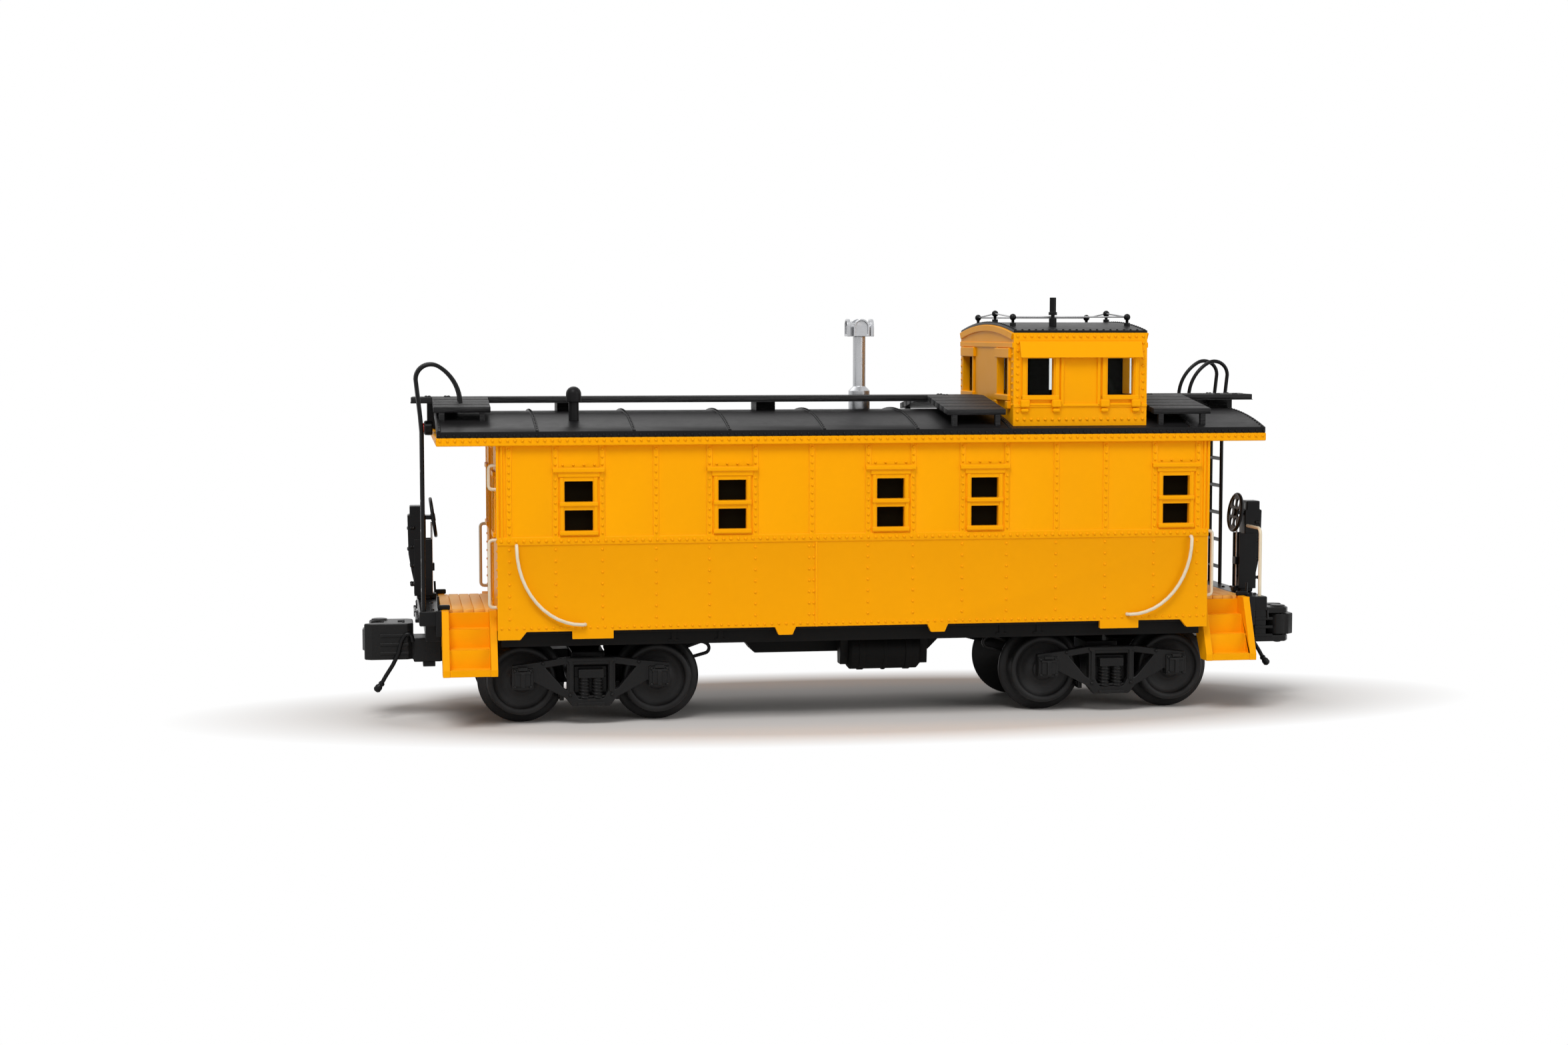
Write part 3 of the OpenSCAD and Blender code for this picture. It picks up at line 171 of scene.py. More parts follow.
def put(tree, kind, values=None, **settings):
    """Adds a node, sets its options, and sets or links its inputs by name or number."""
    node = tree.nodes.new(kind)
    for name, value in settings.items():
        setattr(node, name, value)
    for name, value in (values or {}).items():
        if isinstance(value, bpy.types.NodeSocket):
            tree.links.new(value, node.inputs[name])
        else:
            node.inputs[name].default_value = value
    return node


def first_of(tree, kind, values=None, **settings):
    """Adds a node and gives its first output."""
    return put(tree, kind, values, **settings).outputs[0]


def math_of(tree, operation, a, b=0.0, clamp=False):
    return first_of(tree, "ShaderNodeMath", {0: a, 1: b}, operation=operation, use_clamp=clamp)


def mix_colour(tree, factor, a, b):
    return put(tree, "ShaderNodeMix", {0: factor, 6: a, 7: b}, data_type="RGBA").outputs[2]


def remap(tree, value, low, high, to_low, to_high):
    return first_of(tree, "ShaderNodeMapRange", {0: value, 1: low, 2: high, 3: to_low, 4: to_high})


def noise(tree, vector, scale, **more):
    """Value of a noise texture. The rest are its other inputs, such as Detail."""
    return put(tree, "ShaderNodeTexNoise", {"Vector": vector, "Scale": scale, **more}).outputs["Fac"]


NUMBER, VECTOR = "NodeSocketFloat", "NodeSocketVector"
MESH, FINISH = "NodeSocketGeometry", "NodeSocketMaterial"
KIND_OF = {float: NUMBER, int: "NodeSocketInt"}


def new_tree(name, kind, inputs, output, output_kind):
    """A node tree and the sockets at its two ends. Each input has its start value, or else its kind."""
    tree = bpy.data.node_groups.new(name, kind)
    for label, value in inputs.items():
        has_value = not isinstance(value, str)
        socket = tree.interface.new_socket(label, in_out="INPUT",
                                           socket_type=KIND_OF[type(value)] if has_value else value)
        if has_value:
            socket.default_value = value
    tree.interface.new_socket(output, in_out="OUTPUT", socket_type=output_kind)
    return tree, tree.nodes.new("NodeGroupInput").outputs, tree.nodes.new("NodeGroupOutput").inputs


def shader_group(name, output, **inputs):
    """A shader group with one number out."""
    inputs = {label.title(): value for label, value in inputs.items()}
    return new_tree(name, "ShaderNodeTree", inputs, output, NUMBER)


# ---------------------------------------------------------------- shared shader groups


def mottle_group():
    """Slow, uneven variation over a painted or moulded surface."""
    tree, given, result = shader_group("paint_mottle", "Mask", vector=VECTOR, scale=60.0, contrast=1.0)
    broad = noise(tree, given["Vector"], given["Scale"], Detail=4.0, Roughness=0.6)
    finer = math_of(tree, "MULTIPLY", given["Scale"], 9.0)
    specks = noise(tree, given["Vector"], finer, Detail=2.0)
    coarse = math_of(tree, "MULTIPLY", broad, 0.7)
    both = math_of(tree, "ADD", coarse, math_of(tree, "MULTIPLY", specks, 0.3))
    centred = math_of(tree, "SUBTRACT", both, 0.5)
    spread = math_of(tree, "MULTIPLY", centred, given["Contrast"])
    tree.links.new(math_of(tree, "ADD", spread, 0.5, clamp=True), result["Mask"])
    return tree


def edge_highlight_group():
    """Mask of the outer edges, broken up by noise, where a lighter colour is painted as an edge highlight.
    """
    tree, given, result = shader_group("painted_edge_highlights", "Mask", vector=VECTOR, width=0.0003, breakup=900.0)
    soft = put(tree, "ShaderNodeBevel", {"Radius": given["Width"]}, samples=4)
    flat = put(tree, "ShaderNodeNewGeometry")
    facing = put(tree, "ShaderNodeVectorMath", {0: soft.outputs["Normal"], 1: flat.outputs["Normal"]},
                 operation="DOT_PRODUCT")
    bend = remap(tree, facing.outputs["Value"], 0.985, 0.8, 0.0, 1.0)
    gaps = noise(tree, given["Vector"], given["Breakup"], Detail=3.0)
    broken = remap(tree, gaps, 0.3, 0.6, 0.35, 1.0)
    tree.links.new(math_of(tree, "MULTIPLY", bend, broken, clamp=True), result["Mask"])
    return tree


def top_light_group():
    """Mask of faces that look up, speckled by noise, where a lighter colour is painted as top light."""
    tree, given, result = shader_group("painted_top_light", "Mask", vector=VECTOR, scale=300.0)
    flat = put(tree, "ShaderNodeNewGeometry")
    parts = put(tree, "ShaderNodeSeparateXYZ", {0: flat.outputs["Normal"]})
    upward = remap(tree, parts.outputs["Z"], 0.3, 1.0, 0.0, 1.0)
    specks = noise(tree, given["Vector"], given["Scale"], Detail=6.0, Roughness=0.7)
    drift = remap(tree, specks, 0.35, 0.75, 0.0, 1.0)
    tree.links.new(math_of(tree, "MULTIPLY", upward, drift, clamp=True), result["Mask"])
    return tree


def stipple_group():
    """Height of the fine moulded or sprayed texture of a surface."""
    tree, given, result = shader_group("fine_stipple", "Height", vector=VECTOR, scale=2200.0)
    grains = noise(tree, given["Vector"], given["Scale"], Detail=3.0)
    wide = math_of(tree, "MULTIPLY", given["Scale"], 0.12)
    waves = noise(tree, given["Vector"], wide)
    height = math_of(tree, "ADD", grains, math_of(tree, "MULTIPLY", waves, 1.5))
    tree.links.new(height, result["Height"])
    return tree


def wood_group():
    """Height of the coarse grain moulded into the boards, running along the car."""
    tree, given, result = shader_group("board_grain", "Height", vector=VECTOR, scale=1500.0)
    long = first_of(tree, "ShaderNodeMapping", {"Vector": given["Vector"], "Scale": (0.12, 1.0, 1.0)})
    fibres = noise(tree, long, given["Scale"], Detail=5.0, Roughness=0.65, Distortion=0.4)
    tree.links.new(remap(tree, fibres, 0.3, 0.7, 0.0, 1.0), result["Height"])
    return tree


def turned_group():
    """Height of the fine rings that a lathe leaves, from the distance to the axle."""
    tree, given, result = shader_group("turned_rings", "Height", radius=0.0, pitch=0.00022)
    turns = math_of(tree, "DIVIDE", given["Radius"], given["Pitch"])
    wave = math_of(tree, "SINE", math_of(tree, "MULTIPLY", turns, 2 * math.pi))
    uneven = put(tree, "ShaderNodeTexNoise", {"W": turns, "Scale": 0.7}, noise_dimensions="1D")
    tree.links.new(math_of(tree, "ADD", math_of(tree, "MULTIPLY", wave, 0.5), uneven.outputs["Fac"]),
                   result["Height"])
    return tree


MOTTLE, EDGE_HIGHLIGHTS, TOP_LIGHT = mottle_group(), edge_highlight_group(), top_light_group()
STIPPLE, GRAIN, RINGS = stipple_group(), wood_group(), turned_group()

# ---------------------------------------------------------------- materials


def new_material(name):
    """A material, its node tree, its shader, and the place of each point on its object."""
    material = bpy.data.materials.new(name)
    material.use_nodes = True
    tree = material.node_tree
    place = put(tree, "ShaderNodeTexCoord").outputs["Object"]
    return material, tree, tree.nodes["Principled BSDF"], place


def use_group(tree, group, **values):
    """Output of a shared group, with its inputs set by name."""
    labels = {name.title(): value for name, value in values.items()}
    return first_of(tree, "ShaderNodeGroup", labels, node_tree=group)


# faces that look up take a lighter colour, painted top light, and a rougher finish
def finish(name, colour, second, edge, rough, bump=(2200.0, 0.006), edge_width=0.25, top_lightening=0.1,
           top_light_colour=(0.35, 0.33, 0.3, 1), mottle=(60.0, 1.4), texture=None, metal=0.0, coat=0.0,
           shine=0.2):
    """A painted, moulded or metal surface. Bump is its scale per metre and its depth in millimetres."""
    material, tree, shader, place = new_material(name)
    patches = use_group(tree, MOTTLE, vector=place, scale=mottle[0], contrast=mottle[1])
    # the outer edges get the lighter third colour, a painted edge highlight, and a little less roughness
    edges = use_group(tree, EDGE_HIGHLIGHTS, vector=place, width=edge_width * MM)
    # faces that look up get a lighter colour, painted top light, and more roughness
    film = use_group(tree, TOP_LIGHT, vector=place, scale=mottle[0] * 5)
    painted = mix_colour(tree, patches, colour, second)
    edge_highlighted = mix_colour(tree, edges, painted, edge)
    top_lightened = mix_colour(tree, math_of(tree, "MULTIPLY", film, top_lightening), edge_highlighted, top_light_colour)
    tree.links.new(top_lightened, shader.inputs["Base Color"])
    gloss = remap(tree, patches, 0.0, 1.0, rough - 0.05, rough + 0.07)
    edge_glossed = math_of(tree, "SUBTRACT", gloss, math_of(tree, "MULTIPLY", edges, 0.08))
    tree.links.new(math_of(tree, "ADD", edge_glossed, math_of(tree, "MULTIPLY", film, top_lightening), clamp=True),
                   shader.inputs["Roughness"])
    if texture == "wood":
        height = use_group(tree, GRAIN, vector=place, scale=bump[0])
    elif texture == "turned":
        radius = put(tree, "ShaderNodeAttribute", attribute_name="axle_distance").outputs["Fac"]
        height = use_group(tree, RINGS, radius=radius)
    else:
        height = use_group(tree, STIPPLE, vector=place, scale=bump[0])
    relief = put(tree, "ShaderNodeBump", {"Height": height, "Distance": bump[1] * MM, "Strength": 1.0})
    tree.links.new(relief.outputs["Normal"], shader.inputs["Normal"])
    shader.inputs["Metallic"].default_value = metal
    shader.inputs["Specular IOR Level"].default_value = shine
    shader.inputs["Coat Weight"].default_value = coat
    shader.inputs["Coat Roughness"].default_value = 0.2
    return material


def clear_glass(name):
    """Clear glazing with a faint, uneven film."""
    material, tree, shader, place = new_material(name)
    patches = use_group(tree, MOTTLE, vector=place, scale=120.0, contrast=2.0)
    tree.links.new(mix_colour(tree, patches, (0.93, 0.95, 0.94, 1), (0.84, 0.86, 0.85, 1)),
                   shader.inputs["Base Color"])
    tree.links.new(remap(tree, patches, 0.0, 1.0, 0.01, 0.06), shader.inputs["Roughness"])
    shader.inputs["Transmission Weight"].default_value = 1.0
    shader.inputs["IOR"].default_value = 1.1
    shader.inputs["Specular IOR Level"].default_value = 0.15
    return material


# the third colour of each finish is painted on its outer edges as an edge highlight
MATERIALS = {
    "yellow_body": finish("yellow_paint", (0.96, 0.395, 0.001, 1), (0.92, 0.37, 0.001, 1),
                          (1.0, 0.45, 0.02, 1), 0.38, bump=(1500.0, 0.006), top_lightening=0.03,
                          top_light_colour=(0.95, 0.62, 0.25, 1), shine=0.05),
    # platform boards: a paler, tan yellow that stands in for the grazing reflection on them, painted sheen
    "sheen_painted_boards": finish("platform_paint_with_painted_sheen", (0.9, 0.47, 0.1, 1), (0.84, 0.42, 0.07, 1),
                            (0.95, 0.55, 0.2, 1), 0.42, bump=(1500.0, 0.01), top_lightening=0.1,
                            top_light_colour=(0.8, 0.6, 0.4, 1), shine=0.1),
    "black_roof": finish("black_roof_paint", (0.006, 0.006, 0.0063, 1), (0.012, 0.0115, 0.012, 1),
                         (0.03, 0.03, 0.03, 1), 0.36, bump=(2600.0, 0.01), top_lightening=0.08,
                         top_light_colour=(0.04, 0.037, 0.037, 1), shine=0.09),
    "black_boards": finish("black_grained_boards", (0.007, 0.007, 0.0075, 1), (0.015, 0.0145, 0.015, 1),
                           (0.04, 0.04, 0.042, 1), 0.46, bump=(1500.0, 0.12), texture="wood", top_lightening=0.15,
                           top_light_colour=(0.08, 0.075, 0.07, 1), mottle=(200.0, 2.5), shine=0.18),
    "black_fittings": finish("black_fittings_plastic", (0.0045, 0.0045, 0.005, 1),
                             (0.008, 0.008, 0.0085, 1), (0.02, 0.02, 0.021, 1), 0.28, top_lightening=0.04,
                             top_light_colour=(0.05, 0.05, 0.05, 1), shine=0.14),
    "black_underframe": finish("black_underframe_paint", (0.005, 0.005, 0.005, 1),
                               (0.009, 0.0088, 0.0085, 1), (0.016, 0.016, 0.016, 1), 0.5, top_lightening=0.04,
                               top_light_colour=(0.04, 0.037, 0.035, 1), mottle=(150.0, 2.0), shine=0.08),
    "black_casting": finish("black_cast_metal", (0.009, 0.009, 0.0092, 1), (0.014, 0.014, 0.0142, 1),
                            (0.038, 0.038, 0.039, 1), 0.32, bump=(1800.0, 0.03), edge_width=0.3, top_lightening=0.04,
                            top_light_colour=(0.05, 0.05, 0.05, 1), mottle=(180.0, 2.0), shine=0.13),
    "dark_wheel": finish("blackened_turned_metal", (0.016, 0.016, 0.0165, 1), (0.028, 0.0275, 0.028, 1),
                         (0.08, 0.08, 0.08, 1), 0.4, bump=(1.0, 0.012), texture="turned", top_lightening=0.02,
                         metal=0.3, mottle=(120.0, 1.5), shine=0.16),
    "clear_window": clear_glass("clear_glazing"),
    # opaque near-black window finish, painted shade of the unlit cabin behind the glass
    "window_painted_shade": finish("glazing_painted_interior_shade", (0.004, 0.003, 0.0015, 1), (0.008, 0.006, 0.003, 1),
                          (0.008, 0.006, 0.004, 1), 0.45, bump=(900.0, 0.002), top_lightening=0.0, shine=0.0),
    "silver_pipe": finish("silver_painted_pipe", (0.52, 0.53, 0.55, 1), (0.44, 0.44, 0.45, 1),
                          (0.7, 0.71, 0.73, 1), 0.26, bump=(2500.0, 0.008), top_lightening=0.03, metal=0.8),
    "bright_steel": finish("bright_steel_rod", (0.6, 0.6, 0.61, 1), (0.46, 0.46, 0.47, 1),
                           (0.75, 0.75, 0.75, 1), 0.25, top_lightening=0.05, metal=0.4, mottle=(300.0, 2.0)),
    "cream_irons": finish("cream_moulded_irons", (0.8, 0.72, 0.55, 1), (0.71, 0.62, 0.45, 1),
                          (0.88, 0.82, 0.68, 1), 0.34, top_lightening=0.02, mottle=(200.0, 1.6), shine=0.3),
    "red_lens": finish("red_lamp_lens", (0.62, 0.008, 0.008, 1), (0.45, 0.005, 0.005, 1),
                       (0.7, 0.03, 0.03, 1), 0.12, bump=(1200.0, 0.01), top_lightening=0.0, coat=0.6),
    # near-black inner faces, painted shade of the unlit inside of the cupola
    "inside_painted_shade": finish("inner_faces_painted_shade", (0.003, 0.0025, 0.002, 1), (0.006, 0.0045, 0.003, 1),
                          (0.008, 0.006, 0.005, 1), 0.6, bump=(1200.0, 0.01), top_lightening=0.0, shine=0.05),
}

# ---------------------------------------------------------------- mesh helpers


def new_piece(name, mesh):
    piece = bpy.data.objects.new(name, mesh)
    bpy.context.scene.collection.objects.link(piece)
    return piece


def piece_of(name, bm, smooth=math.radians(35)):
    mesh = bpy.data.meshes.new(name)
    bm.to_mesh(mesh)
    bm.free()
    shade(mesh, smooth)
    return new_piece(name, mesh)


def shade(mesh, angle):
    """Shades a mesh smooth, with creases where its faces turn by more than the angle."""
    mesh.shade_smooth()
    mesh.set_sharp_from_angle(angle=angle)


def applied(piece):
    """The piece with its modifiers made part of its mesh."""
    graph = bpy.context.evaluated_depsgraph_get()
    mesh = bpy.data.meshes.new_from_object(piece.evaluated_get(graph))
    piece.modifiers.clear()
    piece.data = mesh
    return piece


def rounded(piece, width, segments=2, angle=32):
    """Rounds every edge sharper than the angle. Width is in millimetres."""
    if width:
        bevel = piece.modifiers.new("rounding", "BEVEL")
        bevel.width = width * MM
        bevel.segments = segments
        bevel.limit_method = "ANGLE"
        bevel.angle_limit = math.radians(angle)
        bevel.use_clamp_overlap = False
        bevel.harden_normals = True
        applied(piece)
    return piece


def settle(piece, body, slot, *nodes, material=None):
    """Gives a piece its material, its body and the CAD nodes that it stands for."""
    piece.data.materials.clear()
    piece.data.materials.append(MATERIALS[material or slot])
    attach(piece, body)
    if nodes:
        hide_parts(*nodes)
    return piece


SLOTS = {row["node"]: row["material_slot"] for row in frame["record"]["subparts"]}
BODIES = {node: body for body, nodes in frame["record"]["behaviour"]["bodies"].items() for node in nodes}


def softened(node, width, flat=True, crease=32, material=None):
    """A copy of a CAD node with merged faces and rounded edges, which stands for the node."""
    bm = cad_mesh(node)
    if flat:
        merge_flat_faces(bm)
    piece = piece_of(node + "_finished", bm, math.radians(crease))
    rounded(piece, width, angle=crease)
    return settle(piece, BODIES[node], SLOTS[node], node, material=material)


def mirrored(boxes):
    """The boxes and their mirror images on the other side."""
    return boxes + [((lx, -hy, lz), (hx, -ly, hz)) for (lx, ly, lz), (hx, hy, hz) in boxes]


def turned(boxes):
    """The boxes turned by half a turn, for the rear end."""
    return [((-hx, -hy, lz), (-lx, -ly, hz)) for (lx, ly, lz), (hx, hy, hz) in boxes]


def on_both_ends(boxes):
    """The boxes, and the same boxes at the rear end."""
    return boxes + turned(boxes)


def boxes(name, corners, width=0.1, segments=2):
    """One mesh of rounded blocks, each given by its low and high corner."""
    bm = bmesh.new()
    for low, high in corners:
        low, high = Vector(low) * MM, Vector(high) * MM
        made = bmesh.ops.create_cube(bm, size=1.0)["verts"]
        for vert in made:
            vert.co = Vector(low[i] + (vert.co[i] + 0.5) * (high[i] - low[i]) for i in range(3))
    return rounded(piece_of(name, bm), width, segments)


def prism(name, outline, start, end, axis="x", width=0.1, copies=(Matrix.Identity(4),)):
    """An outline swept along X or Y from start to end, with rounded edges."""
    bm = bmesh.new()
    for matrix in copies:
        ring = []
        for a, b in outline:
            co = Vector((start, a, b)) if axis == "x" else Vector((a, start, b))
            ring.append(bm.verts.new(matrix @ co * MM))
        face = bm.faces.new(ring)
        step = Vector((end - start, 0, 0)) if axis == "x" else Vector((0, end - start, 0))
        swept = bmesh.ops.extrude_face_region(bm, geom=[face])["geom"]
        moved = [item for item in swept if isinstance(item, bmesh.types.BMVert)]
        bmesh.ops.translate(bm, verts=moved, vec=matrix.to_3x3() @ step * MM)
    bmesh.ops.recalc_face_normals(bm, faces=bm.faces)
    return rounded(piece_of(name, bm), width)


# ---------------------------------------------------------------- geometry node trees


def geometry_tree(name, **inputs):
    """A geometry tree with one geometry in, named sizes and a finish, and one geometry out."""
    inputs = {label.title(): value for label, value in inputs.items()}
    inputs = {"Geometry": MESH, **inputs, "Finish": FINISH}
    return new_tree(name, "GeometryNodeTree", inputs, "Geometry", MESH)


def close_tree(tree, given, result, geometry):
    """Ends a tree as plain geometry with its material."""
    real = first_of(tree, "GeometryNodeRealizeInstances", {0: geometry})
    painted = first_of(tree, "GeometryNodeSetMaterial", {0: real, "Material": given["Finish"]})
    tree.links.new(painted, result[0])
    return tree


def smooth(tree, geometry):
    return first_of(tree, "GeometryNodeSetShadeSmooth", {0: geometry})


def tube_along(tree, curve, radius, sides):
    """A smooth round tube along a curve."""
    ring = first_of(tree, "GeometryNodeCurvePrimitiveCircle", {"Resolution": sides, "Radius": radius})
    shape = {"Curve": curve, "Profile Curve": ring, "Fill Caps": True}
    return smooth(tree, first_of(tree, "GeometryNodeCurveToMesh", shape))


def copies_on(tree, points, shape, **more):
    """One copy of a shape on each point. The rest are other inputs, such as Rotation."""
    return first_of(tree, "GeometryNodeInstanceOnPoints", {"Points": points, "Instance": shape, **more})


def rivet_tree():
    """Domed heads at an even pitch along each polyline, facing along its `outward` attribute."""
    tree, given, result = geometry_tree("rivet_rows", pitch=0.0018, radius=0.0004, height=0.0003, sides=8)
    lines = first_of(tree, "GeometryNodeMeshToCurve", {0: given["Geometry"]})
    places = first_of(tree, "GeometryNodeResampleCurve", {"Curve": lines, "Length": given["Pitch"]},
                      mode="LENGTH")
    ball = first_of(tree, "GeometryNodeMeshUVSphere", {"Segments": given["Sides"], "Rings": 4,
                                                       "Radius": given["Radius"]})
    scale = first_of(tree, "ShaderNodeCombineXYZ",
                     {0: 1.0, 1: 1.0, 2: math_of(tree, "DIVIDE", given["Height"], given["Radius"])})
    head = first_of(tree, "GeometryNodeTransform", {0: ball, "Scale": scale})
    outward = first_of(tree, "GeometryNodeInputNamedAttribute", {"Name": "outward"},
                       data_type="FLOAT_VECTOR")
    facing = first_of(tree, "FunctionNodeAlignRotationToVector", {"Vector": outward}, axis="Z")
    placed = copies_on(tree, places, smooth(tree, head), Rotation=facing)
    return close_tree(tree, given, result, placed)


def wire_tree():
    """Round wire along each polyline, bent at its corners."""
    tree, given, result = geometry_tree("bent_wire", radius=0.0003, bend=0.001, sides=10)
    lines = first_of(tree, "GeometryNodeMeshToCurve", {0: given["Geometry"]})
    bent = first_of(tree, "GeometryNodeFilletCurve", {"Curve": lines, "Count": 5, "Radius": given["Bend"],
                                                      "Limit Radius": True}, mode="POLY")
    return close_tree(tree, given, result, tube_along(tree, bent, given["Radius"], given["Sides"]))


def plank_tree():
    """A row of planks laid side by side along Y and centred on the origin, each a little different."""
    tree, given, result = geometry_tree("plank_row", length=0.01, width=0.01, thickness=0.001, planks=4,
                                        gap=0.0002, seed=3)
    pitch = math_of(tree, "DIVIDE", given["Width"], given["Planks"])
    broad = math_of(tree, "SUBTRACT", pitch, given["Gap"])
    half = math_of(tree, "MULTIPLY", given["Width"], -0.5)
    first = first_of(tree, "ShaderNodeMath", {0: pitch, 1: 0.5, 2: half}, operation="MULTIPLY_ADD")
    start = first_of(tree, "ShaderNodeCombineXYZ", {1: first})
    step = first_of(tree, "ShaderNodeCombineXYZ", {1: pitch})
    line = first_of(tree, "GeometryNodeMeshLine", {"Count": given["Planks"], "Start Location": start,
                                                   "Offset": step})
    size = first_of(tree, "ShaderNodeCombineXYZ", {0: given["Length"], 1: broad, 2: given["Thickness"]})
    plank = first_of(tree, "GeometryNodeMeshCube", {"Size": size})
    uneven = first_of(tree, "FunctionNodeRandomValue", {0: (0.985, 1.0, 0.9), 1: (1.0, 1.0, 1.0),
                                                        "Seed": given["Seed"]}, data_type="FLOAT_VECTOR")
    return close_tree(tree, given, result, copies_on(tree, line, plank, Scale=uneven))


def coil_tree():
    """A coil spring standing on each point."""
    tree, given, result = geometry_tree("coil_springs", height=0.005, radius=0.001, wire=0.0002, turns=5.0)
    radius = given["Radius"]
    coil = first_of(tree, "GeometryNodeCurveSpiral", {"Resolution": 14, "Rotations": given["Turns"],
                                                      "Start Radius": radius, "End Radius": radius,
                                                      "Height": given["Height"]})
    spring = tube_along(tree, coil, given["Wire"], 6)
    return close_tree(tree, given, result, copies_on(tree, given["Geometry"], spring))


RIVETS, WIRES, PLANKS, COILS = rivet_tree(), wire_tree(), plank_tree(), coil_tree()


def grown(piece, tree, finish_name, **sizes):
    """Runs a geometry tree on a piece and keeps its result as a plain mesh."""
    modifier = piece.modifiers.new("growth", "NODES")
    modifier.node_group = tree
    sockets = {item.name: item.identifier for item in tree.interface.items_tree
               if item.item_type == "SOCKET" and item.in_out == "INPUT"}
    for name, value in sizes.items():
        modifier[sockets[name.title()]] = value
    modifier[sockets["Finish"]] = MATERIALS[finish_name]
    return applied(piece)


def polyline(bm, points):
    """Adds an open line through the points."""
    line = [bm.verts.new(Vector(point) * MM) for point in points]
    for a, b in zip(line, line[1:]):
        bm.edges.new((a, b))
    return line


def rivets(name, rows, body, slot, pitch, radius=0.42, height=0.3, sides=8):
    """Rows of rivet heads. Each row is its points and the direction, or directions, that it faces."""
    bm = bmesh.new()
    outward = bm.verts.layers.float_vector.new("outward")
    for points, facing in rows:
        for i, vert in enumerate(polyline(bm, points)):
            vert[outward] = facing[i] if isinstance(facing, list) else facing
    piece = piece_of(name, bm)
    grown(piece, RIVETS, slot, pitch=pitch * MM, radius=radius * MM, height=height * MM, sides=sides)
    return settle(piece, body, slot)


def wires(name, routes, body, slot, radius, bend=1.0, sides=10):
    """Bent round wires through the given points."""
    bm = bmesh.new()
    for route in routes:
        polyline(bm, route)
    piece = piece_of(name, bm)
    grown(piece, WIRES, slot, radius=radius * MM, bend=bend * MM, sides=sides)
    return settle(piece, body, slot)


def planks(name, length, width, thickness, count, gap, slot, places, seed=3, round_edges=0.15):
    """Rows of planks, placed by matrices. The planks run along X before they are placed."""
    seedling = new_piece(name, bpy.data.meshes.new(name))
    grown(seedling, PLANKS, slot, length=length * MM, width=width * MM, thickness=thickness * MM,
          planks=count, gap=gap * MM, seed=seed)
    rounded(seedling, round_edges)
    bm = bmesh.new()
    for place in places:
        copy = seedling.data.copy()
        copy.transform(place)
        bm.from_mesh(copy)
    piece = piece_of(name, bm)
    bpy.data.objects.remove(seedling)
    return piece


def flipped(item, signs):
    """A place or a direction, or a list of them, with the signs of its three numbers changed."""
    if isinstance(item, list):
        return [flipped(one, signs) for one in item]
    return tuple(a * b for a, b in zip(item, signs))


def other_side(rows):
    """The rows mirrored to the other side of the car."""
    return [(flipped(points, (1, -1, 1)), flipped(facing, (1, -1, 1))) for points, facing in rows]


def other_end(rows):
    """The rows turned by half a turn, to the other end of the car."""
    return [(flipped(points, (-1, -1, 1)), flipped(facing, (-1, -1, 1))) for points, facing in rows]


def both_sides(rows):
    return rows + other_side(rows)


def both_ends(rows):
    return rows + other_end(rows)


def turned_route(route):
    return flipped(route, (-1, -1, 1))


YELLOW, ROOFING, BOARDS = ("car", "yellow_body"), ("car", "black_roof"), ("car", "black_boards")
FITTINGS, BELOW = ("car", "black_fittings"), ("car", "black_underframe")
NEAR, FAR, FRONT, UP = (0, -1, 0), (0, 1, 0), (1, 0, 0), (0, 0, 1)

# ---------------------------------------------------------------- the CAD nodes, with finished edges

ROUNDING = {
    "body_shell": 0.13, "end_doors": 0.2, "roof": 0.15, "eave_strip": 0.3, "cupola_shell": 0.13,
    "cupola_roof": 0.12, "cupola_visors": 0.15, "whistle": 0.1, "smoke_jack": 0.12, "roof_vent": 0.15,
    "end_sills": 0.35, "steps_front": 0.16, "steps_rear": 0.16,
    "brake_stands": 0.3, "brake_wheels": 0.08, "brake_rods": 0.05, "car_floor": 0.15, "centre_sill": 0.3,
    "car_bolsters": 0.3, "kingpins": 0.1, "air_tank": 0.15, "cupola_handrail": 0.0,
    "side_grab_irons": 0.0, "end_grab_irons": 0.0, "end_railings": 0.0,
}
for end in ("front", "rear"):
    ROUNDING.update({f"truck_{end}_bolster": 0.3, f"truck_{end}_side_frames": 0.25,
                     f"truck_{end}_coupler": 0.35, f"knuckle_{end}": 0.3})
WIRE_NODES = [node for node, width in ROUNDING.items() if not width]
for node, width in ROUNDING.items():
    softened(node, width, flat=node != "body_shell",
             crease=50 if node in WIRE_NODES else 32,
             material="bright_steel" if node == "brake_rods" else None)

# side and end windows get an opaque near-black finish, painted shade of the unlit cabin behind them
for node in ("side_glazing", "end_glazing"):
    for socket in frame["nodes"][node].material_slots:
        socket.material = MATERIALS["window_painted_shade"]
for socket in frame["nodes"]["cupola_glazing"].material_slots:
    socket.material = MATERIALS["clear_window"]


def wheelset(node):
    """A wheelset whose vertices know their distance from the axle, for the turned finish."""
    low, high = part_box(node)
    centre = (low + high) / 2
    piece = softened(node, 0.0, flat=False, crease=40)
    distance = piece.data.attributes.new("axle_distance", "FLOAT", "POINT")
    for vert, value in zip(piece.data.vertices, distance.data):
        value.value = math.hypot(vert.co.x - centre.x, vert.co.z - centre.z)
    return piece


for end in ("front", "rear"):
    for place in ("outer", "inner"):
        wheelset(f"wheelset_{end}_{place}")

# ---------------------------------------------------------------- cabin


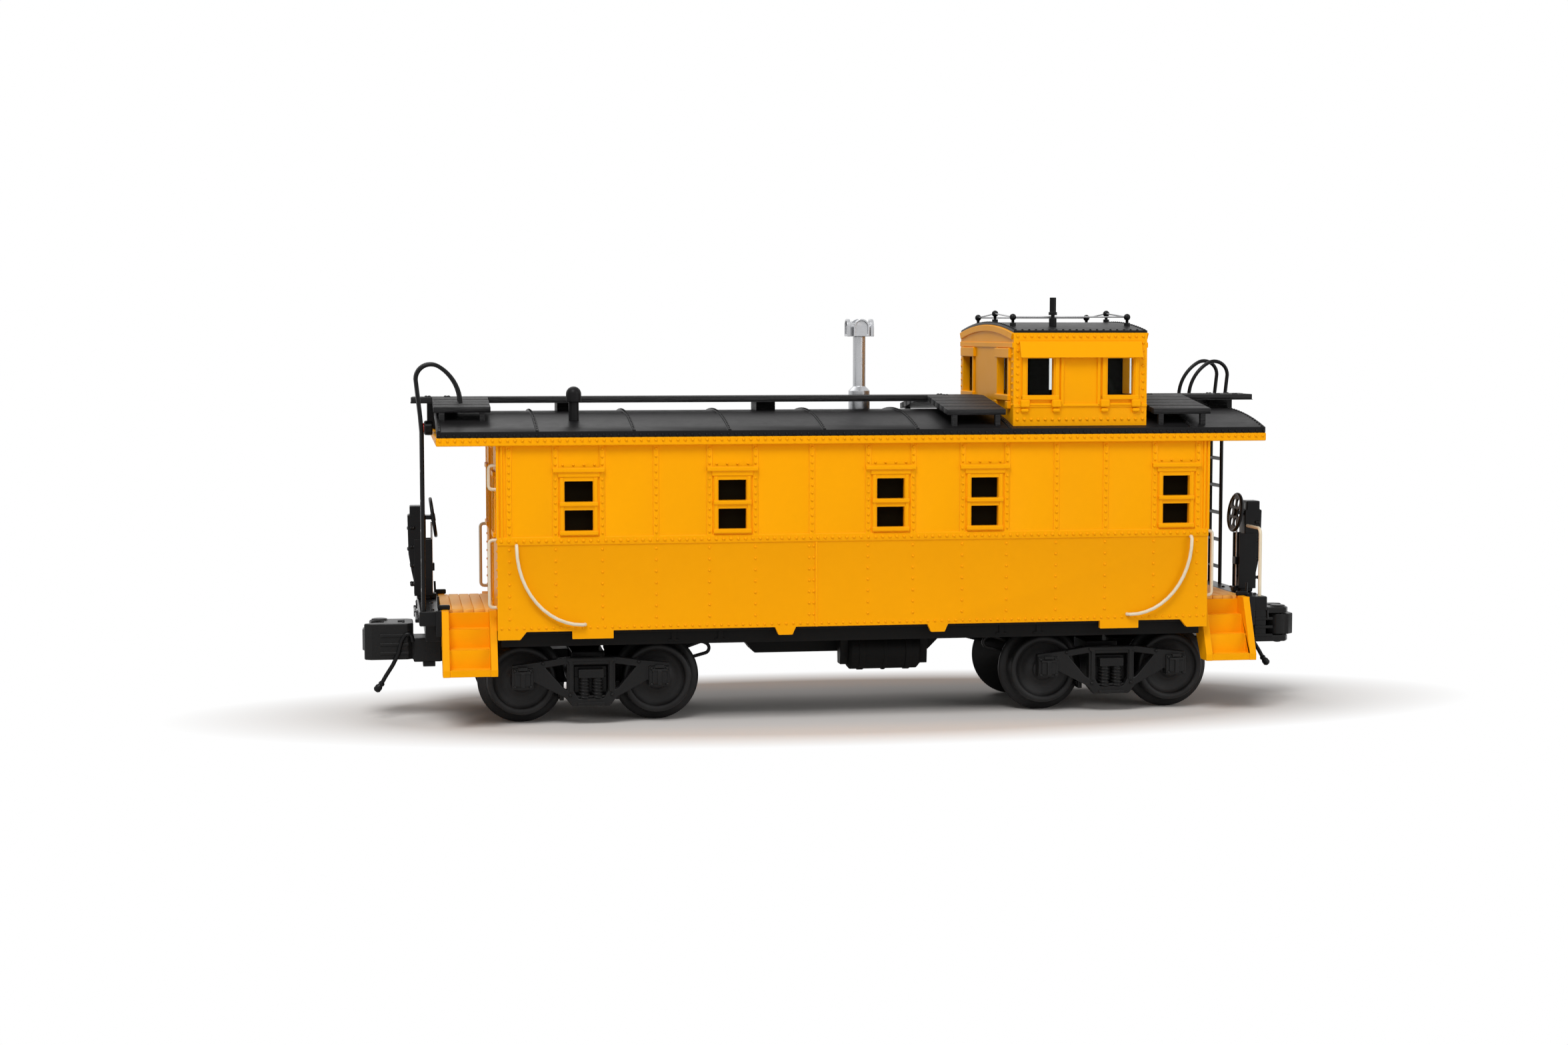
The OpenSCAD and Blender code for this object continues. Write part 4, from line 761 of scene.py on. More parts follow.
def cabin_rivets():
    """Rivets of the battens, the belt, the lower edge and the plates over the windows."""
    face = -HALF_WIDTH - TRIM
    columns = [([(x, face, BELT + 1.9), (x, face, EAVE_LOW.z - 0.9)], NEAR) for x in BATTENS]
    rivets("batten_rivets", both_sides(columns), *YELLOW, 1.8, 0.38, 0.28)
    joint = -12.8
    seam = [x for x in BATTENS if abs(x - joint) > 2] + [joint - 0.7, joint + 0.5]
    lower = [([(x, -HALF_WIDTH, BELT - 2.2), (x, -HALF_WIDTH, CABIN_BOTTOM + 3.2)], NEAR) for x in seam]
    reach = HALF_LENGTH - 1
    edge = [([(-reach, -HALF_WIDTH, CABIN_BOTTOM + 0.9), (reach, -HALF_WIDTH, CABIN_BOTTOM + 0.9)], NEAR)]
    rivets("lower_edge_rivets", both_sides(edge), *YELLOW, 1.85, 0.36, 0.24)
    plates = [([(x - 4.0, -HALF_WIDTH, WINDOW_TOP + 4.1), (x + 4.0, -HALF_WIDTH, WINDOW_TOP + 4.1)], NEAR)
              for x in WINDOWS]
    rivets("panel_rivets", both_sides(lower + plates), *YELLOW, 2.6, 0.36, 0.26)
    belt = [([(-reach, face, BELT), (reach, face, BELT)], NEAR)]
    rivets("belt_rivets", both_sides(belt), *YELLOW, 1.87, 0.45, 0.3)


def window_mouldings():
    """Rounded ledges, casings and two-step hoods of the side windows."""
    wall = -HALF_WIDTH + 0.8
    blocks = []
    meeting_rail = WINDOW_SILL + (WINDOW_TOP - WINDOW_SILL + 2.1) / 2
    for x in WINDOWS:
        for z in (WINDOW_SILL, meeting_rail):
            blocks.append(((x - 4.9, -HALF_WIDTH - 0.85, z - 1.1), (x + 4.9, wall, z)))
        blocks.append(((x - 5.3, -HALF_WIDTH - 0.6, WINDOW_TOP + 1.0), (x + 5.3, wall, WINDOW_TOP + 2.6)))
        blocks.append(((x - 6.6, -HALF_WIDTH - 1.05, WINDOW_TOP + 2.2), (x + 6.6, wall, WINDOW_TOP + 3.4)))
        for a, b in ((-4.75, -3.75), (3.75, 4.75)):
            blocks.append(((x + a, -HALF_WIDTH - 0.5, WINDOW_SILL - 0.9), (x + b, wall, WINDOW_TOP + 1.0)))
    settle(boxes("window_mouldings", mirrored(blocks), 0.3, 3), *YELLOW)


def seam_line():
    """The upright joint between the two lower side sheets, and the double posts at the corners."""
    low = (-11.9, -HALF_WIDTH - 0.2, CABIN_BOTTOM)
    high = (-11.4, -HALF_WIDTH + 0.2, BELT - 1)
    settle(boxes("side_sheet_joint", mirrored([(low, high)]), 0.05), *YELLOW)
    posts = [((HALF_LENGTH + x0, -HALF_WIDTH - 0.35, BELT + 0.8),
              (HALF_LENGTH + x1, -HALF_WIDTH + 0.4, EAVE_LOW.z)) for x0, x1 in ((-1.5, -0.9), (-0.5, 0.2))]
    settle(boxes("corner_posts", on_both_ends(mirrored(posts)), 0.15), *YELLOW)


def end_wall_trim():
    """Casings of the end windows and doors, and the rivets of the end walls."""
    face = HALF_LENGTH
    out = face + 0.35
    frames = []
    for low, high in solids("end_glazing"):
        if low.x < 0 or abs(low.y + high.y) < 1:
            continue
        inner_low, inner_high = low.y + CASING, high.y - CASING
        frames += [((face - 0.1, low.y, low.z), (out, inner_low, high.z)),
                   ((face - 0.1, inner_high, low.z), (out, high.y, high.z)),
                   ((face - 0.1, low.y - 0.6, low.z - 0.7), (out + 0.4, high.y + 0.6, low.z + 0.5)),
                   ((face - 0.1, low.y - 0.6, high.z - 0.2), (out + 0.4, high.y + 0.6, high.z + 1.0))]
    door_high = span("end_doors")[1]
    half = door_high.y - 0.9
    top = door_high.z - 0.9
    frames += [((face - 0.1, -half - 1.1, PLATFORM_HIGH.z), (out, -half, top + 1.1)),
               ((face - 0.1, half, PLATFORM_HIGH.z), (out, half + 1.1, top + 1.1)),
               ((face - 0.1, -half - 1.6, top + 0.9), (out + 0.5, half + 1.6, top + 2.2))]
    settle(boxes("end_wall_casings", on_both_ends(frames), 0.1), *YELLOW)
    reach = HALF_WIDTH - 1.2
    rows = [([(face, y, PLATFORM_HIGH.z + 1.5), (face, y, EAVE_LOW.z - 1)], FRONT)
            for y in (-reach, reach, -half - 2.4, half + 2.4)]
    rows.append(([(face, -reach, BELT), (face, -half - 2.6, BELT)], FRONT))
    rows.append(([(face, half + 2.6, BELT), (face, reach, BELT)], FRONT))
    rivets("end_wall_rivets", both_ends(rows), *YELLOW, 2.3, 0.36, 0.26)


def end_door_details():
    """Raised panels, kick plate, hinges and handle of the two end doors."""
    face = HALF_LENGTH - WALL
    low, high = span("end_doors")
    half = high.y - 0.9
    sill = low.z + 0.9
    panels = []
    for y0, y1 in ((-half + 2, -0.7), (0.7, half - 2)):
        for z0, z1 in ((sill + 3.2, sill + 10.4), (sill + 12.0, sill + 20.4)):
            panels.append(((face - 0.1, y0, z0), (face + 0.35, y1, z1)))
    panels.append(((face - 0.1, -half + 0.4, sill + 0.3), (face + 0.2, half - 0.4, sill + 2.2)))
    panels += [((face - 0.1, -half + 2.6, sill + 21.6), (face + 0.3, half - 2.6, sill + 22.6)),
               ((face - 0.1, -half + 2.6, sill + 35.6), (face + 0.3, half - 2.6, sill + 36.6))]
    for z in (sill + 5, sill + 20.8, sill + 36.5):
        panels.append(((face - 0.1, half - 0.9, z), (face + 0.5, half + 0.1, z + 2)))
    settle(boxes("end_door_panels", on_both_ends(panels), 0.15), *YELLOW)
    knob = [(face - 0.1, -half + 1.2, sill + 18), (face + 0.8, -half + 1.2, sill + 18),
            (face + 0.8, -half + 2.6, sill + 18)]
    wires("end_door_handles", [knob, turned_route(knob)], "car", "bright_steel", 0.3, 0.4)


# ---------------------------------------------------------------- roof and roof walks


def arc_points(x, half, step, lift=0.0):
    """Points over the roof arc at one place along the car, and the directions that they face."""
    count = max(2, round(2 * half / step))
    ys = [half * (2 * i / count - 1) for i in range(count + 1)]
    points = [(x, y, roof_at(y) + lift) for y in ys]
    return points, [(0, y / ROOF_RADIUS, math.sqrt(1 - (y / ROOF_RADIUS) ** 2)) for y in ys]


def roof_rivets():
    """Rivets of the roof edges, the eave strips, the roof ends and the cross seams."""
    reach = ROOF_HIGH.x - 0.6
    edge = ROOF_LOW.y - 0.02
    side = [([(-reach, edge, ROOF_LOW.z + 0.55), (reach, edge, ROOF_LOW.z + 0.55)], NEAR)]
    rivets("roof_edge_rivets", both_sides(side), *ROOFING, 1.85, 0.42, 0.34)
    end, height = EAVE_HIGH.x - 1, EAVE_HIGH.z - 0.75
    strip = [([(-end, EAVE_LOW.y, height), (end, EAVE_LOW.y, height)], NEAR)]
    rivets("eave_rivets", both_sides(strip), *YELLOW, 1.85, 0.42, 0.34)
    ends = [arc_points(sign * (ROOF_HIGH.x - 0.7), 30.6, 1.8) for sign in (-1, 1)]
    rivets("roof_rim_rivets", ends, *ROOFING, 1.8, 0.36, 0.26)
    seams = []
    for i in range(9):
        x = 0.6 - ROOF_HIGH.x + 24.3 * i
        if x < CUPOLA_LOW.x - 1 or x > CUPOLA_HIGH.x + 1:
            seams.append(arc_points(x, 30.0, 1.6, 0.3))
    rivets("roof_seam_rivets", seams, *ROOFING, 1.5, 0.3, 0.22)


def walk_boards():
    """Three planks to each stretch of the roof walk."""
    stretches = [(low.x, high.x) for low, high in solids("roof_walk") if high.x - low.x >= 20]
    for index, (x0, x1) in enumerate(stretches):
        place = Matrix.Translation(Vector(((x0 + x1) / 2, 0, WALK_HIGH.z - BOARD / 2)) * MM)
        walk = planks(f"roof_walk_planks_{index}", x1 - x0, WALK_HIGH.y - WALK_LOW.y, BOARD, 3, 0.3,
                      "black_boards", [place], seed=index + 1)
        settle(walk, *BOARDS)


def walk_supports():
    """The saddles under the walk, kept from the CAD solid without its board."""
    bm = cad_mesh("roof_walk")
    floor = (WALK_HIGH.z - 1.45) * MM
    cut = bmesh.ops.bisect_plane(bm, geom=bm.verts[:] + bm.edges[:] + bm.faces[:], plane_co=(0, 0, floor),
                                 plane_no=(0, 0, 1), clear_outer=True)
    bmesh.ops.holes_fill(bm, edges=[e for e in cut["geom_cut"] if isinstance(e, bmesh.types.BMEdge)])
    merge_flat_faces(bm)
    piece = piece_of("roof_walk_saddles", bm)
    settle(piece, *BOARDS, "roof_walk")


def sloping_boards(node, name, count):
    """Planks in place of each leaning board of a node, with its legs kept below them."""
    slope = math.radians(7.2)
    places, legs = [], []
    for low, high in solids(node):
        side = -1 if low.y < 0 else 1
        inner, outer = min(abs(low.y), abs(high.y)), max(abs(low.y), abs(high.y))
        length, width = high.x - low.x, (outer - inner) / math.cos(slope)
        middle_y = (inner + outer) / 2
        middle_z = WALK_HIGH.z - (middle_y - inner) * math.tan(slope) - BOARD / 2 * math.cos(slope)
        turn = Matrix.Rotation(-side * slope, 4, "X")
        centre = Vector(((low.x + high.x) / 2, side * middle_y, middle_z)) * MM
        places.append(Matrix.Translation(centre) @ turn)
        top = WALK_HIGH.z - (outer - 1 - inner) * math.tan(slope) - BOARD * 0.7
        for x in (low.x + 1.4, high.x - 2.8):
            y0, y1 = sorted((side * (outer - 0.3), side * (outer - 1.7)))
            legs.append(((x, y0, roof_at(outer - 0.3) - 0.1), (x + 1.4, y1, top)))
    boards = planks(name + "_planks", length, width, BOARD, count, 0.3, "black_boards", places)
    settle(boards, *BOARDS, node)
    settle(boxes(name + "_legs", legs, 0.15), *BOARDS)


def walk_screws():
    """Screw heads at the ends of the roof walk."""
    rows = []
    for x in (WALK_HIGH.x - 4.5, WALK_HIGH.x - 9.5, CUPOLA_LOW.x - 12, CUPOLA_HIGH.x + 9):
        for y in (-3.5, 3.5):
            rows.append(([(x - 0.4, y, WALK_HIGH.z), (x + 0.4, y, WALK_HIGH.z)], UP))
    rows += [([(-p[0], p[1], p[2]) for p in points], facing) for points, facing in rows[:4]]
    rivets("roof_walk_screws", rows, *BOARDS, 2.0, 0.45, 0.25)


# ---------------------------------------------------------------- cupola


def cupola_trim():
    """Casings, sills, clamps and rails of the cupola side walls."""
    side = CUPOLA_HALF
    glazing = [box for box in solids("cupola_glazing") if box[1].y < 0 and box[1].x - box[0].x > 2]
    windows = sorted(((low.x + high.x) / 2 for low, high in glazing))
    half = (glazing[0][1].x - glazing[0][0].x) / 2 - CASING
    sill = glazing[0][0].z + CASING
    top = glazing[0][1].z - CASING
    wall = -side + 0.9
    blocks, clamps = [], []
    for x, inward in ((windows[0], 1), (windows[1], -1)):
        blocks.append(((x - half - 1.5, -side - 0.75, sill - 1.25), (x + half + 1.5, wall, sill - 0.05)))
        for offset in (-half - 1.5, half + 0.3):
            blocks.append(((x + offset, -side - 0.6, sill - 1.2), (x + offset + 1.2, wall, top + 0.6)))
        start = x + inward * (half + 1.9)
        low, high = sorted((start, start + inward * 0.9))
        blocks.append(((low, -side - 0.45, sill - 2.9), (high, wall, top + 0.6)))
        blocks.append(((x - half + 0.4, -side - 0.5, sill - 2.75), (x + half - 0.4, wall, sill - 2.1)))
        for centre in (x - half - 0.75, x + half + 0.75):
            clamps += [((centre - 1.3, -side - 1.05, sill - 3.2), (centre + 1.3, wall, sill - 1.1)),
                       ((centre - 1.05, -side - 0.85, sill - 4.5), (centre + 1.05, wall, sill - 3.35))]
    middle = (windows[0] + half + 1.9, windows[1] - half - 1.9)
    blocks.append(((middle[0], -side - 0.45, sill - 3.0), (middle[1], wall, sill - 2.3)))
    settle(boxes("cupola_side_trim", mirrored(blocks), 0.25, 3), *YELLOW)
    settle(boxes("cupola_sill_clamps", mirrored(clamps), 0.5, 3), *YELLOW)


def cupola_end_trim():
    """Arched band, cross band, hoods and window casings of the two cupola end walls."""
    middle = CUPOLA_MIDDLE
    steps = [CUPOLA_HALF * (2 * i / 24 - 1) for i in range(25)]
    for index, sign in enumerate((-1, 1)):
        face = CUPOLA_HIGH.x if sign > 0 else CUPOLA_LOW.x
        low, high = sorted((face - sign * 0.2, face + sign * 0.45))
        upper = [(y, cupola_at(y) - 0.1) for y in steps]
        lower = [(y * 0.96, cupola_at(y) - 1.8) for y in reversed(steps)]
        band = prism(f"cupola_arch_band_{index}", upper + lower, low, high, "x", 0.2)
        settle(band, *YELLOW)
    face = CUPOLA_HIGH.x
    glazing = [box for box in solids("cupola_glazing") if box[1].x - box[0].x < 2 and box[0].x > middle]
    head = CUPOLA_EAVE - 3.9
    blocks = [((face - 0.2, -CUPOLA_HALF + 0.1, head), (face + 0.3, CUPOLA_HALF - 0.1, head + 1.4))]
    for low, high in glazing:
        y0, y1 = low.y, high.y
        blocks += [((face - 0.2, y0, low.z), (face + 0.5, y0 + CASING, head)),
                   ((face - 0.2, y1 - CASING, low.z), (face + 0.5, y1, head)),
                   ((face - 0.2, y0 - 0.4, low.z - 0.3), (face + 0.8, y1 + 0.4, low.z + CASING)),
                   ((face - 0.2, y0 - 0.9, high.z - CASING + 0.1), (face + 0.75, y1 + 0.9, head - 0.1))]
        for y in (y0 + 0.6, y1 - 0.6):
            blocks.append(((face - 0.2, y - 1.2, low.z - 2.4), (face + 0.9, y + 1.2, low.z - 0.4)))
    mirror = [((2 * middle - hx, ly, lz), (2 * middle - lx, hy, hz))
              for (lx, ly, lz), (hx, hy, hz) in blocks]
    settle(boxes("cupola_end_trim", blocks + mirror, 0.2, 2), *YELLOW)


def cupola_rivets():
    """Rivets of the cupola walls and of its roof sheet."""
    side = -CUPOLA_HALF
    x0, x1 = CUPOLA_LOW.x + 1.1, CUPOLA_HIGH.x - 1.1
    rows = [([(x0, side, z), (x1, side, z)], NEAR) for z in (CUPOLA_EAVE - 0.9, ROOF_EDGE_TOP + 2.2)]
    rows += [([(x, side, ROOF_EDGE_TOP + 4.2), (x, side, CUPOLA_EAVE - 2.6)], NEAR) for x in (x0, x1)]
    ends = []
    for sign, x in ((1, CUPOLA_HIGH.x), (-1, CUPOLA_LOW.x)):
        for y in (-CUPOLA_HALF + 1.2, CUPOLA_HALF - 1.2):
            ends.append(([(x, y, ROOF_EDGE_TOP + 6), (x, y, CUPOLA_EAVE - 5.6)], (sign, 0, 0)))
    rivets("cupola_rivets", both_sides(rows) + ends, *YELLOW, 1.8, 0.42, 0.34)
    edge = CUPOLA_HALF - 0.8
    height = cupola_at(edge, CUPOLA_SHEET)
    rows = [([(x0 - 0.4, -edge, height), (x1 + 0.4, -edge, height)], (0, -0.15, 0.99))]
    over = []
    for x in (x0 - 0.5, x1 + 0.5):
        ys = [edge * (2 * i / 26 - 1) for i in range(27)]
        over.append(([(x, y, cupola_at(y, CUPOLA_SHEET)) for y in ys],
                     [(0, y / CUPOLA_RADIUS, 0.99) for y in ys]))
    rivets("cupola_roof_rivets", both_sides(rows) + over, *ROOFING, 1.8, 0.36, 0.28)


def cupola_shade_liner():
    """Near-black lining on the inner faces of the cupola, open at its windows, as painted shade of the
    unlit inside.
    """
    inner_y, inner_x = CUPOLA_HALF - WALL, (CUPOLA_HIGH.x - CUPOLA_LOW.x) / 2 - WALL
    bm = cad_mesh("cupola_shell")

    def lines(face):
        middle = face.calc_center_median() / MM
        x = abs(middle.x - CUPOLA_MIDDLE)
        on_side = abs(abs(middle.y) - inner_y) < 0.02 and abs(face.normal.y) > 0.9
        on_end = abs(x - inner_x) < 0.02 and abs(face.normal.x) > 0.9
        on_top = abs(middle.z - (CUPOLA_EAVE - 1)) < 0.02 and abs(middle.y) < inner_y and x < inner_x
        return on_side or on_end or on_top

    bmesh.ops.delete(bm, geom=[face for face in bm.faces if not lines(face)], context="FACES")
    merge_flat_faces(bm)
    piece = piece_of("cupola_shade_liner", bm)
    skin = piece.modifiers.new("thickness", "SOLIDIFY")
    skin.thickness = -0.12 * MM
    skin.offset = -1
    applied(piece)
    settle(piece, *FITTINGS, material="inside_painted_shade")


def marker_lamps():
    """Round bodies and red lenses of the two lamps, each on its bracket under the end of the roof walk."""
    low, high = span("marker_lenses")
    height = (low.z + high.z) / 2
    rim = high.x - span("marker_lamps")[1].x + 0.2
    shell = [(0, 1.2), (0, 1.75), (0.3, 1.95), (rim, 1.95), (1.9, 1.9), (2.2, 1.6), (2.2, 0.9)]
    lens = [(2.0, 1.3), (2.6, 1.3), (3.1, 1.1), (3.4, 0.7), (3.5, 0.25)]
    start = high.x - 3.5
    for index, sign in enumerate((1, -1)):
        axis, origin = (sign, 0, 0), (sign * start, 0, height)
        lamp = settle(lathe(f"marker_lamp_{index}", shell, origin, axis), *FITTINGS)
        glass = settle(lathe(f"marker_lens_{index}", lens, origin, axis), "car", "red_lens")
        if index == 0:
            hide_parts("marker_lamps")
            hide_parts("marker_lenses")
    stem = [((start - 0.8, -0.7, height - 0.2), (start + 1.4, 0.7, WALK_HIGH.z - 1.4))]
    settle(boxes("marker_lamp_brackets", on_both_ends(stem), 0.15), *FITTINGS)


def handrail_wire():
    """Wire threaded through the six stanchions on the cupola roof."""
    posts = solids("cupola_handrail")
    xs = sorted({round((low.x + high.x) / 2, 1) for low, high in posts})
    ys = sorted({round((low.y + high.y) / 2, 1) for low, high in posts})
    tops = {round((low.y + high.y) / 2, 1): high.z - 0.85 for low, high in posts}
    corners = ((0, 0), (-1, 0), (-1, 1), (-1, 2), (0, 2), (0, 1), (0, 0))
    loop = [(xs[i], ys[j], tops[ys[j]]) for i, j in corners]
    wires("cupola_handrail_wire", [loop], "car", "bright_steel", 0.2, 0.0, 8)


# ---------------------------------------------------------------- platforms


def platform_boards():
    """Boards across each platform, with open joints between them."""
    length = PLATFORM_HIGH.y - PLATFORM_LOW.y
    depth = PLATFORM_HIGH.x - HALF_LENGTH
    thickness = PLATFORM_HIGH.z - PLATFORM_LOW.z
    middle = Vector(((HALF_LENGTH + PLATFORM_HIGH.x) / 2, 0, (PLATFORM_HIGH.z + PLATFORM_LOW.z) / 2)) * MM
    across = Matrix.Rotation(math.pi / 2, 4, "Z")
    front = Matrix.Translation(middle) @ across
    rear = Matrix.Rotation(math.pi, 4, "Z") @ front
    boards = planks("platform_boards", length, depth, thickness, 5, 0.07, "yellow_body", [front, rear],
                    round_edges=0.2)
    # the boards take the paler tan paint, painted sheen of their grazing reflection
    settle(boards, *YELLOW, "platform_floors", material="sheen_painted_boards")


def bow_route(y):
    """The path of one ladder rail: up the end, outward over the roof edge, and down to the boards."""
    low, high = span("ladder_front")
    rail = 0.5
    upright, bow, reach = SILL_HIGH.x - 1.2, 3.8, high.x - rail
    top = high.z - rail - bow
    route = [(upright, y, SILL_HIGH.z), (upright, y, ROOF_LOW.z + 0.8), (upright + 0.35, y, ROOF_LOW.z + 5)]
    for i in range(13):
        angle = math.radians(10 * i)
        route.append((reach - bow + bow * math.cos(angle), y, top + bow * math.sin(angle)))
    start, foot = Vector(route[-1]), Vector((low.x + rail, y, WALK_HIGH.z - 1.2))
    pull, rise = start + Vector((-2.6, 0, -1.5)), foot + Vector((0.1, 0, 4.6))
    for i in range(1, 11):
        t = i / 10
        route.append(tuple((1 - t) ** 3 * start + 3 * t * (1 - t) ** 2 * pull + 3 * t * t * (1 - t) * rise
                           + t ** 3 * foot))
    return route


def ladders():
    """Bent rails and rungs of the two ladders."""
    low, high = span("ladder_front")
    sides = (low.y + 0.5, high.y - 0.5)
    rungs = [[(SILL_HIGH.x - 1.2, sides[0], z), (SILL_HIGH.x - 1.2, sides[1], z)]
             for z in (PLATFORM_HIGH.z + 4.6 + 7.6 * i for i in range(5))]
    routes = [bow_route(y) for y in sides] + rungs
    for end in ("front", "rear"):
        ladder = wires(f"ladder_{end}_bent", routes, *FITTINGS, 0.52, 0.6)
        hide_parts(f"ladder_{end}")
        routes = [turned_route(route) for route in routes]


def platform_hooks():
    """Small hook brackets at the corners over the steps."""
    z = PLATFORM_HIGH.z
    x = PLATFORM_HIGH.x
    places = (-19.6, 19.6)
    blocks = [((x - 2.2, y - 0.6, z - 0.1), (x + 0.9, y + 0.6, z + 1.2)) for y in places]
    settle(boxes("platform_hook_brackets", on_both_ends(blocks), 0.3), *FITTINGS)
    hooks = [[(x + 0.7, y, z + 0.4), (x + 0.8, y, z + 3.4)] for y in places]
    wires("platform_hooks", hooks + [turned_route(hook) for hook in hooks], *FITTINGS, 0.3, 0.1)


def sill_fittings():
    """Bolts on the end sills, and the uncoupling bars with their brackets."""
    face = SILL_HIGH.x
    z = SILL_HIGH.z
    rows = [([(face, y - 1.2, z - 2.0), (face, y + 1.2, z - 2.0)], FRONT)
            for y in (-18.5, -13.5, 6.0, 13.0, 19.5)]
    rows += [([(face - 1.2, y, z), (face - 3.4, y, z)], UP) for y in (-16.0, 3.0, 19.5)]
    rivets("end_sill_bolts", both_ends(rows), *FITTINGS, 2.2, 0.55, 0.4)
    bar_height = max(z - 4.6, COUPLER_HIGH.z + 0.9)
    brackets = [((face - 2.6, y - 0.7, bar_height - 0.4), (face + 0.9, y + 0.7, bar_height + 0.5))
                for y in (-20.5, -7.0, 12.0)]
    settle(boxes("end_sill_brackets", on_both_ends(brackets), 0.2), *FITTINGS)
    bar = [(face + 0.5, y, bar_height + z) for y, z in ((-21.4, -2.6), (-20.8, 0), (12.6, 0))]
    wires("uncoupling_bars", [bar, turned_route(bar)], *FITTINGS, 0.35, 1.2)


def brake_stand_fittings():
    """Rivets, collar, pawl and side ribs of the two brake stands."""
    stands = solids("brake_stands")
    low, high = [box for box in stands if box[0].x > 0 and box[1].z - box[0].z > 10][0]
    y = (low.y + high.y) / 2
    rows = [([(high.x - 0.25, low.y + 1.0, z), (high.x - 0.25, high.y - 1.0, z)], FRONT)
            for z in (high.z - 6.0, high.z - 11.5)]
    for z in (low.z + 4, low.z + 9, low.z + 14, low.z + 19):
        for side, facing in ((low.y, NEAR), (high.y, FAR)):
            rows.append(([(high.x - 1.6, side, z), (high.x - 1.0, side, z)], facing))
    rivets("brake_stand_rivets", both_ends(rows), *FITTINGS, 2.6, 0.5, 0.4)
    blocks = [((low.x + 0.9, y - 1.9, high.z - 3.4), (high.x - 0.5, y + 1.9, high.z - 2.6)),
              ((low.x + 0.4, y - 1.2, low.z + 7.5), (low.x + 1.6, y + 1.2, low.z + 9.5)),
              ((low.x + 1.0, low.y - 0.35, low.z + 1.0), (high.x - 1.6, low.y + 0.2, low.z + 16)),
              ((low.x + 1.0, high.y - 0.2, low.z + 1.0), (high.x - 1.6, high.y + 0.35, low.z + 16))]
    settle(boxes("brake_stand_ribs", on_both_ends(blocks), 0.15), *FITTINGS)


def step_trim():
    """Noses of the three step treads, and covers over the ears beside the end sills."""
    low, high = span("steps_front")
    inner = HALF_LENGTH + 2.1
    outer = PLATFORM_HIGH.x - 2.1
    treads, lowest, edge = 3, low.z + 1.7, HALF_WIDTH - 0.3
    rise = (PLATFORM_HIGH.z - lowest) / treads
    run = (edge - 0.9 - PLATFORM_HIGH.y) / treads
    ribs = []
    for i in range(treads):
        top = lowest + i * rise
        y_out = edge - i * run
        ribs.append(((inner, -y_out, top - 0.05), (outer, -y_out + 0.45, top + 0.18)))
    ears = [((PLATFORM_HIGH.x + 0.05, SILL_HIGH.y - 0.6, PLATFORM_HIGH.z - 6.4),
             (high.x + 0.2, PLATFORM_HIGH.y + EAR_REACH, PLATFORM_HIGH.z + 0.1))]
    settle(boxes("step_ear_covers", on_both_ends(mirrored(ears)), 0.08), *FITTINGS)
    settle(boxes("step_nosings", on_both_ends(mirrored(ribs)), 0.07), *YELLOW)


# ---------------------------------------------------------------- underframe


def underframe_details():
    """Cross bearers, stringers, blocks over the trucks, and a black band along each side under the floor,
    set in from the wall as painted shade below the body.
    """
    floor = span("car_floor")[0].z
    wide = HALF_WIDTH - 3.2
    blocks = []
    for x in (-48, -36, 38, 48):
        blocks += [((x - 0.6, -wide, floor - 2.2), (x + 0.6, -5.4, floor + 0.1)),
                   ((x - 1.4, -wide, floor - 2.6), (x + 1.4, -5.4, floor - 2.1))]
    for sign in (-1, 1):
        for near, far, depth in ((TRUCK_X + 4.2, TRUCK_X + 15, 4.8), (TRUCK_X - 5.8, TRUCK_X - 15, 8.5)):
            x0, x1 = sorted((sign * near, sign * far))
            blocks.append(((x0, -7.6, floor - depth), (x1, 7.6, floor + 0.1)))
    # black band along the side under the floor, painted shade below the body
    blocks.append(((1 - HALF_LENGTH, -HALF_WIDTH + 3.6, floor - 3.4),
                   (HALF_LENGTH - 1, -HALF_WIDTH + 5, floor)))
    for y in (-22.5, -14.0):
        for x0, x1 in ((-60, -3), (24, 60)):
            blocks.append(((x0, y - 0.5, floor - 1.3), (x1, y + 0.5, floor + 0.1)))
    settle(boxes("floor_bearers", mirrored(blocks), 0.12), *BELOW)


def lathe(name, profile, origin, axis, sides=32):
    """A closed solid of revolution. The profile is (distance along the axis, radius)."""
    bm = bmesh.new()
    turn = Vector((0, 0, 1)).rotation_difference(Vector(axis)).to_matrix()
    rings = []
    for along, radius in profile:
        ring = []
        for i in range(sides):
            angle = 2 * math.pi * i / sides
            local = Vector((radius * math.cos(angle), radius * math.sin(angle), along))
            ring.append(bm.verts.new((Vector(origin) + turn @ local) * MM))
        rings.append(ring)
    for a, b in zip(rings, rings[1:]):
        for i in range(sides):
            j = (i + 1) % sides
            bm.faces.new((a[i], a[j], b[j], b[i]))
    bm.faces.new(list(reversed(rings[0])))
    bm.faces.new(rings[-1])
    bmesh.ops.recalc_face_normals(bm, faces=bm.faces)
    return piece_of(name, bm, math.radians(30))


